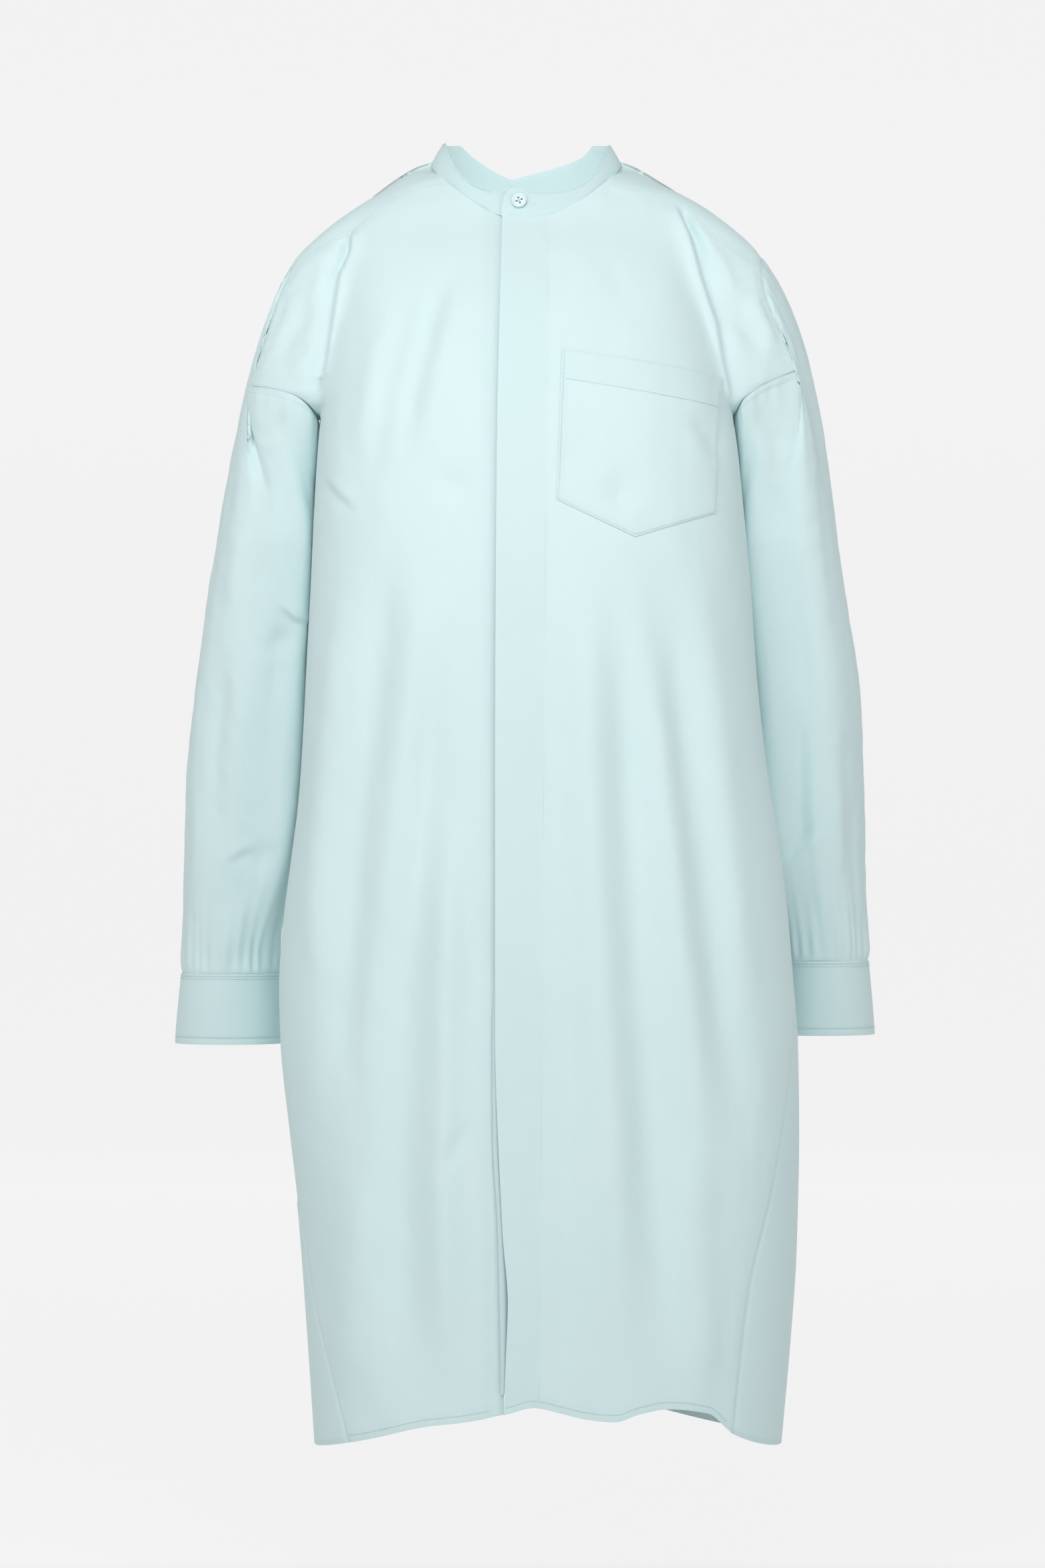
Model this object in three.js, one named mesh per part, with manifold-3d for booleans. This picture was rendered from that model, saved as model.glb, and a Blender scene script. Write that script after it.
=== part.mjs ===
// A band-collared, fly-fronted patient gown, hanging as its wearer's neck and shoulders carry it.
// Millimetres, +Z up. The front faces -Y and the wearer's left is +X. The origin is the middle of
// the neck opening. Each length of cloth is a closed shell, sewn edge to edge with its neighbours.
import * as THREE from "three";
import { mergeVertices } from "three/addons/utils/BufferGeometryUtils.js";
import Module from "manifold-3d";

const wasm = await Module();
wasm.setup();

// ---------------------------------------------------------------- driving dimensions
const CLOTH = 1.0; // one layer of shirting with its seam allowances
const SEAM_GAP = 0.3; // between two edges that are sewn together
const LAYER_GAP = 0.5; // between two curved layers that lie on each other

// The body, at its front hem, widest line, chest and shoulders.
const LENGTH = 948; // neck to the lowest point of the hem
const HEM_RISE = 30; // how much higher the hem is at the middle of the front and back
const SHOULDER_HALF = 215; // over the sleeves' tops
const CHEST_HALF = 157;
const BODY_HALF = 198;
const HEM_HALF = 181;
const SWAY = 16.5; // how far the skirt hangs to the wearer's left, as the wearer stands
const FRONT_DEPTH = 156;
const BACK_DEPTH = 127;
const SIDE_Y = -25; // the sides are widest a little in front of the neck's middle
const SLEEVE_TOP_Z = -126; // the dropped shoulder's lowest point
const ARMPIT_Z = -155;

// The neck opening and its standing band.
const NECK_HALF_X = 72;
const NECK_HALF_Y = 59;
const BAND_SEAM = { side: 37, front: -4, back: 14 }; // heights of the seam that joins it to the body
const BAND_TOP = { side: 50, front: 18, back: 36 };
const BAND_LEAN = { side: 1.15, front: 0.3, back: 0.3 }; // how far it leans in for each millimetre up
const BAND_SEAT = 1.5; // its seam lies this far outside the neck opening
const BAND_TRIM = 8; // the untrimmed band reaches this far below its seam

// The yoke and the side seams.
const YOKE_SEAM_Y = -25;
const YOKE_BACK_Z = -85;
const SIDE_SEAM_SWING = 75; // how far forward of the yoke seam the side seam is at the hem

// The front opening: the wearer's left laps over the right.
const FLY_EDGE_X = -19;
const FLY_WIDTH = 29;
const FLY_INSET = 3; // the inner fly strip's edge is set back from the front edge
const STAND_WIDTH = 60; // the button stand, from under the right front to under the fly
const STAND_TUCK = 32; // the part of it that lies under the right front
const FLY_END_SHORT = 14; // both strips end this far above the hem

// Buttons: four-hole shirt buttons on thread shanks.
const BUTTON_DIAMETER = 11.4;
const BUTTON_THICK = 2.6;
const BUTTON_RIM = 1.3; // width of the raised rim
const BUTTON_DISH = 1.0; // how far the middle lies below the rim
const BUTTON_HOLE = 1.8;
const BUTTON_HOLE_SPACING = 2.9;
const BUTTON_STAND_OFF = 1.2; // between an outer button's back and the cloth under it
const THREAD = 0.9;
const SHANK_DIAMETER = 1.4;
const STITCH_HEIGHT = 0.5; // of the thread over a button's face and under its back
const BUTTON_X = -5.6; // the centre front line, under the middle of the fly
const FLY_BUTTONS = 6;
const FIRST_FLY_BUTTON_Z = -88;
const FLY_BUTTON_PITCH = 100;
const BUTTONHOLE_LENGTH = 14;
const BUTTONHOLE_WIDTH = 2.2;

// The breast pocket on the left front.
const POCKET_X = 24;
const POCKET_WIDTH = 117;
const POCKET_TOP_Z = -120;
const POCKET_SIDE = 112;
const POCKET_POINT = 26; // how far the point hangs below the sides

// Sleeves and cuffs. Each sleeve hangs beside the body, a little behind its widest line.
const SLEEVE_CLEARANCE = 4;
const CUFF_TOP_Z = -577;
const CUFF_DEEP = 59;
const CUFF_HALF_X = 38;
const CUFF_HALF_Y = 37;
const CUFF_Y = 55; // the wrist hangs this far behind the neck's middle
const CUFF_FLARE = 2.5; // the cuff's hem stands out this much from its seam
const CUFF_OVERLAP_DEG = 32;
const SLEEVE_PLACKET_LONG = 120;
const SLEEVE_PLACKET_WIDE = 22;

const COLUMNS = 32; // points round the body
const SLEEVE_COLUMNS = 16;
const COLLAR_COLUMNS = 42;
const CUFF_COLUMNS = 24;
const FAR = 600; // larger than half the gown, for cutting solids

// ---------------------------------------------------------------- materials
const shirting = new THREE.MeshStandardMaterial({ color: 0xcfe9e8, roughness: 0.82, metalness: 0 });
const resin = new THREE.MeshStandardMaterial({ color: 0xe6f4f5, roughness: 0.3, metalness: 0 });
const thread = new THREE.MeshStandardMaterial({ color: 0x9fb9c4, roughness: 0.9, metalness: 0 });

// ---------------------------------------------------------------- solids from grids of points
const point = (x, y, z) => new THREE.Vector3(x, y, z);
const radians = THREE.MathUtils.degToRad;
const lerp = THREE.MathUtils.lerp;

/** A closed geometry from points and triangles, its faces turned outward. */
function closedGeometry(points, triangles) {
  let volume = 0;
  for (const [a, b, c] of triangles) {
    volume += points[a].dot(points[b].clone().cross(points[c]));
  }
  const index = triangles.flatMap(([a, b, c]) => (volume < 0 ? [a, c, b] : [a, b, c]));
  const geometry = new THREE.BufferGeometry();
  geometry.setAttribute("position", new THREE.Float32BufferAttribute(points.flatMap((p) => p.toArray()), 3));
  geometry.setIndex(index);
  return geometry;
}

/** A solid through rows of points, each row a closed loop, with a flat fan over each end. */
function loft(rows) {
  const columns = rows[0].length;
  const points = rows.flat();
  const triangles = [];
  for (let r = 0; r + 1 < rows.length; r++) {
    for (let c = 0; c < columns; c++) {
      const a = r * columns + c;
      const b = r * columns + ((c + 1) % columns);
      triangles.push([a, b, b + columns], [a, b + columns, a + columns]);
    }
  }
  for (const [row, first] of [[rows[0], 0], [rows.at(-1), (rows.length - 1) * columns]]) {
    const middle = row.reduce((sum, p) => sum.add(p), point(0, 0, 0)).divideScalar(columns);
    const hub = points.push(middle) - 1;
    for (let c = 0; c < columns; c++) {
      const pair = [first + c, first + ((c + 1) % columns)];
      triangles.push(first ? [hub, ...pair] : [hub, pair[1], pair[0]]);
    }
  }
  return closedGeometry(points, triangles);
}

/** A length of cloth: at(u, v, side) gives its points, u and v from 0 to 1, side 0 inside and 1 outside. */
function cloth(uSteps, vSteps, at) {
  const wide = uSteps + 1;
  const layer = wide * (vSteps + 1);
  const points = [0, 1].flatMap((side) =>
    Array.from({ length: layer }, (_, i) => at((i % wide) / uSteps, Math.floor(i / wide) / vSteps, side)),
  );
  const triangles = [];
  const quad = (a, b, c, d) => triangles.push([a, b, c], [a, c, d]);
  for (let v = 0; v < vSteps; v++) {
    for (let u = 0; u < uSteps; u++) {
      const a = v * wide + u;
      quad(a, a + wide, a + wide + 1, a + 1);
      quad(layer + a, layer + a + 1, layer + a + wide + 1, layer + a + wide);
    }
  }
  const rim = [
    ...Array.from({ length: uSteps }, (_, u) => u),
    ...Array.from({ length: vSteps }, (_, v) => v * wide + uSteps),
    ...Array.from({ length: uSteps }, (_, u) => vSteps * wide + uSteps - u),
    ...Array.from({ length: vSteps }, (_, v) => (vSteps - v) * wide),
  ];
  rim.forEach((a, i) => {
    const b = rim[(i + 1) % rim.length];
    quad(a, b, b + layer, a + layer);
  });
  return closedGeometry(points, triangles);
}

/** Rows of points moved along the surface's normal, outward when the distance is positive. */
function moved(rows, distance) {
  const columns = rows[0].length;
  return rows.map((row, r) =>
    row.map((p, c) => {
      const along = rows[Math.min(r + 1, rows.length - 1)][c].clone().sub(rows[Math.max(r - 1, 0)][c]);
      const round = row[(c + 1) % columns].clone().sub(row[(c + columns - 1) % columns]);
      return p.clone().addScaledVector(round.cross(along).normalize(), distance);
    }),
  );
}

/** A closed geometry as a manifold-3d solid. */
function solid(geometry) {
  const bare = geometry.index ? geometry.toNonIndexed() : geometry.clone();
  bare.deleteAttribute("normal");
  bare.deleteAttribute("uv");
  const merged = mergeVertices(bare, 1e-4);
  return new wasm.Manifold(
    new wasm.Mesh({
      numProp: 3,
      vertProperties: new Float32Array(merged.attributes.position.array),
      triVerts: new Uint32Array(merged.index.array),
    }),
  );
}

/** A manifold-3d solid as a geometry. */
function geometryOf(shape) {
  const mesh = shape.getMesh();
  const geometry = new THREE.BufferGeometry();
  geometry.setAttribute("position", new THREE.BufferAttribute(mesh.vertProperties, 3));
  geometry.setIndex(new THREE.BufferAttribute(mesh.triVerts, 1));
  return geometry;
}

/** The largest connected piece of a solid: what cutting leaves of one length of cloth. */
function mainPiece(shape) {
  return shape.decompose().reduce((a, b) => (a.volume() > b.volume() ? a : b));
}

/** A block between two corners, for cutting. */
function block(low, high) {
  const size = high.clone().sub(low);
  const geometry = new THREE.BoxGeometry(size.x, size.y, size.z);
  geometry.translate(...low.clone().add(high).multiplyScalar(0.5).toArray());
  return solid(geometry);
}

/** Everything whose (y, z) lies inside an outline, right across the gown. */
function acrossX(outline) {
  const shape = new THREE.Shape(outline.map(([y, z]) => new THREE.Vector2(y, z)));
  const geometry = new THREE.ExtrudeGeometry(shape, { depth: 2 * FAR, bevelEnabled: false });
  geometry.applyMatrix4(
    new THREE.Matrix4().makeBasis(point(0, 1, 0), point(0, 0, 1), point(1, 0, 0)).setPosition(-FAR, 0, 0),
  );
  return solid(geometry);
}

/** Everything in front of the neck's middle whose (x, z) lies inside an outline. */
function alongY(outline) {
  const shape = new THREE.Shape(outline.map(([x, z]) => new THREE.Vector2(x, z)));
  const geometry = new THREE.ExtrudeGeometry(shape, { depth: FAR, bevelEnabled: false });
  return solid(geometry.rotateX(Math.PI / 2));
}

// ---------------------------------------------------------------- the body's form
const skirt = (share) => lerp(ARMPIT_Z, -LENGTH, share);

/** A section of the skirt below the chest, its front and back this much shallower than at their deepest. */
function skirtSection(share, half, frontLess, backLess, swayShare) {
  const [front, back] = [FRONT_DEPTH - frontLess, BACK_DEPTH - backLess];
  return { z: skirt(share), half, front, back, sway: SWAY * swayShare };
}

/** A section where the skirt widens from the chest, and one where it narrows towards the hem. */
const widening = (share, wide, frontLess, backLess, swayShare) =>
  skirtSection(share, lerp(CHEST_HALF, BODY_HALF, wide), frontLess, backLess, swayShare);
const narrowing = (share, wide, frontLess, swayShare) =>
  skirtSection(share, lerp(HEM_HALF, BODY_HALF, wide), frontLess, 0, swayShare);

/** Level sections of the body: height, half width, depth in front of and behind the neck's middle, where the
 * sides are widest (sideY, or SIDE_Y) and sway (or none). The top ones pass under the neck band's seam. */
const SECTIONS = [
  { z: 40, half: NECK_HALF_X - 6, front: 4, back: 24, sideY: 4 },
  { z: 37, half: NECK_HALF_X + 2, front: 12, back: 36, sideY: 3 },
  { z: 34, half: NECK_HALF_X + 8, front: NECK_HALF_Y - 34, back: NECK_HALF_Y - 15, sideY: 0 },
  { z: 27, half: NECK_HALF_X + 22, front: NECK_HALF_Y - 23, back: NECK_HALF_Y - 9, sideY: -6 },
  { z: 14, half: NECK_HALF_X + 45, front: NECK_HALF_Y - 13, back: NECK_HALF_Y, sideY: -14 },
  { z: -6, half: NECK_HALF_X + 74, front: NECK_HALF_Y + 1, back: NECK_HALF_Y + 14, sideY: -20 },
  { z: -37, half: SHOULDER_HALF - 33, front: FRONT_DEPTH - 72, back: BACK_DEPTH - 38, sideY: -24 },
  { z: -67, half: SHOULDER_HALF - 17, front: FRONT_DEPTH - 53, back: BACK_DEPTH - 28 },
  { z: -100, half: SHOULDER_HALF - 5, front: FRONT_DEPTH - 37, back: BACK_DEPTH - 21 },
  { z: SLEEVE_TOP_Z, half: SHOULDER_HALF, front: FRONT_DEPTH - 28, back: BACK_DEPTH - 19 },
  { z: ARMPIT_Z, half: CHEST_HALF, front: FRONT_DEPTH - 22, back: BACK_DEPTH - 17 },
  { z: skirt(0.06), half: CHEST_HALF + 2, front: FRONT_DEPTH - 16, back: BACK_DEPTH - 16 },
  { z: skirt(0.15), half: CHEST_HALF + 6, front: FRONT_DEPTH - 10, back: BACK_DEPTH - 14 },
  widening(0.25, 0.36, 7, 12, 0.2),
  widening(0.38, 0.6, 4, 9, 0.35),
  widening(0.51, 0.85, 1, 6, 0.5),
  widening(0.61, 1, 0, 2, 0.6),
  narrowing(0.77, 0.6, 1, 1),
  narrowing(0.91, 0.15, 5, 1),
  narrowing(1, 0, 8, 1),
];
const FRONT_ROUND = 2.4; // the front is a little flatter than an ellipse
const BACK_ROUND = 2.0;

/** A point of a level section: angle 0 is the wearer's left side and a quarter turn is the front. */
function sectionPoint(section, angle) {
  const { sideY = SIDE_Y, sway = 0 } = section;
  const toFront = Math.sin(angle) >= 0;
  const power = 2 / (toFront ? FRONT_ROUND : BACK_ROUND);
  const depth = toFront ? section.front + sideY : section.back - sideY;
  const across = Math.sign(Math.cos(angle)) * Math.abs(Math.cos(angle)) ** power;
  const outward = Math.abs(Math.sin(angle)) ** power;
  return point(section.half * across + sway, sideY + (toFront ? -1 : 1) * depth * outward, section.z);
}

const angles = Array.from({ length: COLUMNS }, (_, c) => (c / COLUMNS) * 2 * Math.PI);
const bodyRows = SECTIONS.map((section) => angles.map((angle) => sectionPoint(section, angle)));
for (const p of bodyRows.at(-1)) {
  p.z += HEM_RISE * (1 - ((p.x - SWAY) / HEM_HALF) ** 2);
}

/** The point between two neighbours of a falling list where its value, named by key, is the one wanted. */
function between(list, key, wanted) {
  const next = Math.max(1, list.findIndex((p) => p[key] <= wanted));
  const [before, after] = [list[next - 1], list[next]];
  return before.clone().lerp(after, (before[key] - wanted) / (before[key] - after[key]));
}

/** The faceted front of the body at x and z, lifted along its normal, and that normal. */
function frontFace(x, z, lift = 0) {
  const face = (px, pz) => {
    const reaching = bodyRows.filter((row) => row[0].x > px && row[COLUMNS / 2].x < px);
    const column = reaching.map((row) => between(row.slice(0, COLUMNS / 2 + 1), "x", px));
    return between(column, "z", pz).y;
  };
  const step = 2;
  const slopeX = (face(x + step, z) - face(x - step, z)) / (2 * step);
  const slopeZ = (face(x, z + step) - face(x, z - step)) / (2 * step);
  const normal = point(slopeX, -1, slopeZ).normalize();
  return { place: point(x, face(x, z), z).addScaledVector(normal, lift), normal };
}

/** How far out the body's left side is at a height, at a place behind its widest line. */
function sideAt(z, y) {
  const next = SECTIONS.findIndex((section) => section.z < z);
  const reach = ({ half, back, sway = 0 }) => {
    const share = THREE.MathUtils.clamp((y - SIDE_Y) / (back - SIDE_Y), 0, 1);
    return half * (1 - share ** BACK_ROUND) ** (1 / BACK_ROUND) + sway;
  };
  const [upper, lower] = [SECTIONS[next - 1], SECTIONS[next]];
  return lerp(reach(upper), reach(lower), (upper.z - z) / (upper.z - lower.z));
}

/** The body as a filled form, its surface moved outward or inward, its hem carried on downward. */
function bodyForm(distance, beyondHem = 0) {
  const rows = moved(bodyRows, distance);
  if (beyondHem) {
    rows.push(rows.at(-1).map((p) => point(p.x, p.y, p.z - beyondHem)));
  }
  return solid(loft(rows));
}

// ---------------------------------------------------------------- the sleeves' form
const sleeveZ = (share) => lerp(ARMPIT_Z, CUFF_TOP_Z, share);

/** Level sections of a sleeve: height, half width, half depth, and how far its middle is behind the neck. */
const SLEEVE_SECTIONS = [
  { z: SLEEVE_TOP_Z + 21, halfX: 18, halfY: 30, y: -22 },
  { z: SLEEVE_TOP_Z, halfX: 26, halfY: 42, y: -20 },
  { z: ARMPIT_Z, halfX: 29, halfY: 56, y: -6 },
  { z: sleeveZ(0.22), halfX: 36, halfY: 62, y: 16 },
  { z: sleeveZ(0.5), halfX: 41, halfY: 53, y: 33 },
  { z: sleeveZ(0.8), halfX: 42, halfY: 43, y: 45 },
  { z: CUFF_TOP_Z, halfX: CUFF_HALF_X, halfY: CUFF_HALF_Y, y: CUFF_Y },
];

/** How far out a sleeve's middle is, so that it hangs just clear of the body at a section's height. */
function besideBody({ z, halfX, halfY, y }) {
  const inward = [0, 15, 30, 45, 60, 75].map(radians);
  const clear = inward.map((a) => sideAt(z, y - halfY * Math.sin(a)) + halfX * Math.cos(a));
  return SLEEVE_CLEARANCE + Math.max(...clear);
}
for (const s of SLEEVE_SECTIONS) {
  s.x = s.z < SLEEVE_TOP_Z ? besideBody(s) : SHOULDER_HALF - 1 - s.halfX - (s.z - SLEEVE_TOP_Z) / 3;
}
const cuffBottom = { ...SLEEVE_SECTIONS.at(-1), z: CUFF_TOP_Z - CUFF_DEEP };
SLEEVE_SECTIONS.at(-1).x = Math.max(SLEEVE_SECTIONS.at(-1).x, besideBody(cuffBottom) + CUFF_FLARE);
const CUFF_MIDDLE = SLEEVE_SECTIONS.at(-1);

const oval = (s, angle) => point(s.x + s.halfX * Math.cos(angle), s.y - s.halfY * Math.sin(angle), s.z);

/** The left sleeve as a filled form, carried on past its cuff end. */
function sleeveForm(distance, beyondCuff = 0) {
  const turns = Array.from({ length: SLEEVE_COLUMNS }, (_, c) => (c / SLEEVE_COLUMNS) * 2 * Math.PI);
  const rows = moved(SLEEVE_SECTIONS.map((s) => turns.map((angle) => oval(s, angle))), distance);
  if (beyondCuff) {
    rows.push(rows.at(-1).map((p) => point(p.x, p.y, p.z - beyondCuff)));
  }
  return solid(loft(rows));
}

const mirrored = (shape) => shape.mirror([1, 0, 0]);

// ---------------------------------------------------------------- cutting the body into its lengths of cloth
const sleeveHollow = sleeveForm(-CLOTH, 10);
const neckRing = (z) => angles.map((a) => point(NECK_HALF_X * Math.cos(a), -NECK_HALF_Y * Math.sin(a), z));
const neckHole = solid(loft([2 * BAND_TOP.side, ARMPIT_Z].map(neckRing)));
const openings = sleeveHollow.add(mirrored(sleeveHollow)).add(neckHole);

/** One layer of the body between two distances from its face, open at the neck, armholes and hem. */
function bodyLayer(outer, inner) {
  return bodyForm(outer).subtract(bodyForm(inner, 20)).subtract(openings);
}

const hemSeamY = YOKE_SEAM_Y - SIDE_SEAM_SWING;
const underHem = -LENGTH - 100;
const underHemY = hemSeamY - (SIDE_SEAM_SWING * 100) / (LENGTH + YOKE_BACK_Z);
const frontRegion = acrossX([
  [-FAR, FAR],
  [YOKE_SEAM_Y, FAR],
  [YOKE_SEAM_Y, YOKE_BACK_Z],
  [underHemY, underHem],
  [-FAR, underHem],
]);
const backRegion = acrossX([
  [FAR, YOKE_BACK_Z - SEAM_GAP],
  [YOKE_SEAM_Y + SEAM_GAP, YOKE_BACK_Z - SEAM_GAP],
  [underHemY + SEAM_GAP, underHem],
  [FAR, underHem],
]);
const yokeRegion = acrossX([
  [FAR, FAR],
  [YOKE_SEAM_Y + SEAM_GAP, FAR],
  [YOKE_SEAM_Y + SEAM_GAP, YOKE_BACK_Z],
  [FAR, YOKE_BACK_Z],
]);

const outerLayer = bodyLayer(0, -CLOTH);
const yokeLining = bodyLayer(-CLOTH - LAYER_GAP, -2 * CLOTH - LAYER_GAP).intersect(yokeRegion);
const fronts = outerLayer.intersect(frontRegion);
const leftOfEdge = block(point(FLY_EDGE_X, -FAR, -2 * FAR), point(FAR, FAR, FAR));
const rightOfEdge = block(point(-FAR, -FAR, -2 * FAR), point(FLY_EDGE_X - SEAM_GAP, FAR, FAR));

// ---------------------------------------------------------------- the front opening's hidden strips
const BUTTON_LIFT = -CLOTH - SEAM_GAP; // the face of a hidden button, just under the outer cloth
const FLY_STRIP_LIFT = BUTTON_LIFT - BUTTON_THICK - STITCH_HEIGHT - 2 * SEAM_GAP;
const STAND_LIFT = FLY_STRIP_LIFT - CLOTH - SEAM_GAP;
const stripTopZ = FIRST_FLY_BUTTON_Z + 45;
const stripEndZ = -LENGTH + HEM_RISE + FLY_END_SHORT;

/** A vertical strip behind the front, from x to x, its outer face at liftAt(x). */
function frontStrip(fromX, toX, columns, liftAt) {
  const passed = SECTIONS.map((section) => section.z).filter((z) => z < stripTopZ && z > stripEndZ);
  const heights = [stripTopZ, ...passed, stripEndZ];
  return cloth(columns, heights.length - 1, (u, v, side) => {
    const x = lerp(fromX, toX, u);
    const z = heights[Math.round(v * (heights.length - 1))];
    return frontFace(x, z, liftAt(x) - (side ? 0 : CLOTH)).place;
  });
}

const { smoothstep } = THREE.MathUtils;
const flyFromX = FLY_EDGE_X + FLY_INSET;
const flyToX = FLY_EDGE_X + FLY_WIDTH;
const SEWN_EDGE = 3; // the sewn edge of the fly strip rises to the front over this width
const flyStripLift = (x) =>
  lerp(FLY_STRIP_LIFT, -CLOTH - SEAM_GAP, smoothstep(x, flyToX - 2 * SEWN_EDGE, flyToX - SEWN_EDGE));
const standFromX = FLY_EDGE_X - STAND_TUCK;
const standLift = (x) =>
  lerp(-CLOTH - LAYER_GAP, STAND_LIFT, smoothstep(x, FLY_EDGE_X - 0.6 * STAND_TUCK, flyFromX));

// ---------------------------------------------------------------- buttons and their threads
/** The four holes' centres, on a square turned a little, as buttons are sewn on by hand. */
const holeCentres = [0, 1, 2, 3].map((i) => {
  const angle = radians(20 + 90 * i);
  const reach = BUTTON_HOLE_SPACING / Math.SQRT2;
  return [reach * Math.cos(angle), reach * Math.sin(angle)];
});

/** A post between two heights on a button's axis or through one of its holes. */
function post(x, y, fromZ, toZ, diameter, sides = 4) {
  const geometry = new THREE.CylinderGeometry(diameter / 2, diameter / 2, toZ - fromZ, sides);
  geometry.rotateX(Math.PI / 2).translate(x, y, (fromZ + toZ) / 2);
  return solid(geometry);
}

/** A dished four-hole button, its back on z = 0. */
function button() {
  const r = BUTTON_DIAMETER / 2;
  const profile = [
    [0, 0],
    [r - 0.8, 0],
    [r, BUTTON_THICK - 0.5],
    [r - BUTTON_RIM, BUTTON_THICK],
    [r - BUTTON_RIM - 0.6, BUTTON_THICK - BUTTON_DISH],
    [0, BUTTON_THICK - BUTTON_DISH],
  ].map(([x, z]) => new THREE.Vector2(x, z));
  const disc = solid(new THREE.LatheGeometry(profile, 12).rotateX(Math.PI / 2));
  const holes = holeCentres.map(([x, y]) => post(x, y, -1, BUTTON_THICK + 1, BUTTON_HOLE));
  return holes.reduce((left, hole) => left.subtract(hole), disc);
}

/** A bar of thread on a button's face or under its back, from one hole across to another. */
function stitch([ax, ay], [bx, by], z) {
  const bar = new THREE.BoxGeometry(Math.hypot(ax - bx, ay - by) + THREAD, THREAD, STITCH_HEIGHT);
  return solid(bar.rotateZ(Math.atan2(by - ay, bx - ax)).translate(0, 0, z + STITCH_HEIGHT / 2));
}

/** The thread: a shank under the button, a leg up through each hole and a cross of stitches above and below. */
function buttonThread(shankLength) {
  const top = BUTTON_THICK - BUTTON_DISH + SEAM_GAP;
  const foot = -SEAM_GAP - STITCH_HEIGHT;
  const shank = new THREE.BoxGeometry(SHANK_DIAMETER, SHANK_DIAMETER, shankLength + foot);
  const legs = holeCentres.map(([x, y]) => {
    const leg = new THREE.BoxGeometry(THREAD, THREAD, top - foot + STITCH_HEIGHT);
    const upright = leg.rotateZ(Math.atan2(y, x)).translate(x, y, (top + foot + STITCH_HEIGHT) / 2);
    return solid(upright);
  });
  const crosses = [top, foot].flatMap((z) => [0, 1].map((i) => stitch(holeCentres[i], holeCentres[i + 2], z)));
  const stem = solid(shank.translate(0, 0, (foot - shankLength) / 2));
  return [...legs, ...crosses].reduce((sum, piece) => sum.add(piece), stem);
}

// ---------------------------------------------------------------- bands that lap over themselves
/** A measure of the neck band at an angle, from its values at the sides, the front and the back. */
function around(measure, angle) {
  return lerp(measure.side, Math.sin(angle) > 0 ? measure.front : measure.back, Math.sin(angle) ** 2);
}

/** A point of the neck band at an angle and height, this far out from its outer face. */
function bandPoint(angle, z, out) {
  const reach = BAND_SEAT + out - around(BAND_LEAN, angle) * (z - around(BAND_SEAM, angle));
  return point((NECK_HALF_X + reach) * Math.cos(angle), -(NECK_HALF_Y + reach) * Math.sin(angle), z);
}

const BAND_THICK = 2 * CLOTH + SEAM_GAP; // both layers of a neck band or cuff
const BAND_STEP = BAND_THICK + LAYER_GAP; // how far in the lapped end passes under the other
const BAND_LAYERS = [
  { name: "outer", out: 0 },
  { name: "lining", out: -CLOTH - SEAM_GAP },
];
const bandStart = Math.acos(FLY_EDGE_X / NECK_HALF_X); // the left band's front end, over the fly's edge
const BAND_UNDERLAP = radians(26);

/** How far in a band has stepped after a turn, to pass under its own start. */
const stepIn = (turned) =>
  BAND_STEP * THREE.MathUtils.smoothstep(turned, 2 * Math.PI - radians(30), 2 * Math.PI - radians(4));

/** One layer of the neck band: from its front end round the neck and in under that end again. */
function collarLayer({ out }) {
  const turn = 2 * Math.PI + BAND_UNDERLAP;
  return cloth(COLLAR_COLUMNS, 1, (u, v, side) => {
    const angle = bandStart - u * turn;
    const z = v ? around(BAND_TOP, angle) : around(BAND_SEAM, angle) - BAND_TRIM;
    return bandPoint(angle, z, out - stepIn(u * turn) - (side ? 0 : CLOTH));
  });
}

/** A slot through a band or strip along an axis, for a button's shank. */
function buttonhole(place, normal, alongX, from, depth) {
  const [w, h] = alongX ? [BUTTONHOLE_LENGTH, BUTTONHOLE_WIDTH] : [BUTTONHOLE_WIDTH, BUTTONHOLE_LENGTH];
  const geometry = new THREE.BoxGeometry(w, h, depth);
  geometry.translate(alongX ? w / 2 - 2 : 0, 0, from + depth / 2);
  return solid(geometry.applyMatrix4(facing(place, normal)));
}

/** The matrix that sets a button's own axis along a normal, its own up towards +Z. */
function facing(place, normal) {
  const sideways = point(0, 0, 1).cross(normal).normalize();
  const upward = normal.clone().cross(sideways);
  return new THREE.Matrix4().makeBasis(sideways, upward, normal).setPosition(place);
}

// ---------------------------------------------------------------- the gown
const gown = new THREE.Group();

/** Adds a named mesh to the gown, from a geometry or a manifold-3d solid. */
function add(name, shape, material = shirting) {
  const geometry = shape.isBufferGeometry ? shape : geometryOf(shape);
  const mesh = new THREE.Mesh(geometry, material);
  mesh.name = name;
  gown.add(mesh);
  return mesh;
}

/** Adds a button and its thread, its back at a place on cloth that faces along normal. */
function addButton(name, place, normal, shankLength) {
  const seat = facing(place, normal);
  add(name, button(), resin).applyMatrix4(seat);
  add(name + "_thread", buttonThread(shankLength), thread).applyMatrix4(seat);
}

// Body and yoke.
add("front_left", mainPiece(fronts.intersect(leftOfEdge)));
add("front_right", mainPiece(fronts.intersect(rightOfEdge)));
add("back_panel", mainPiece(outerLayer.intersect(backRegion)));
add("yoke_outer", mainPiece(outerLayer.intersect(yokeRegion)));
add("yoke_lining", mainPiece(yokeLining));

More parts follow.
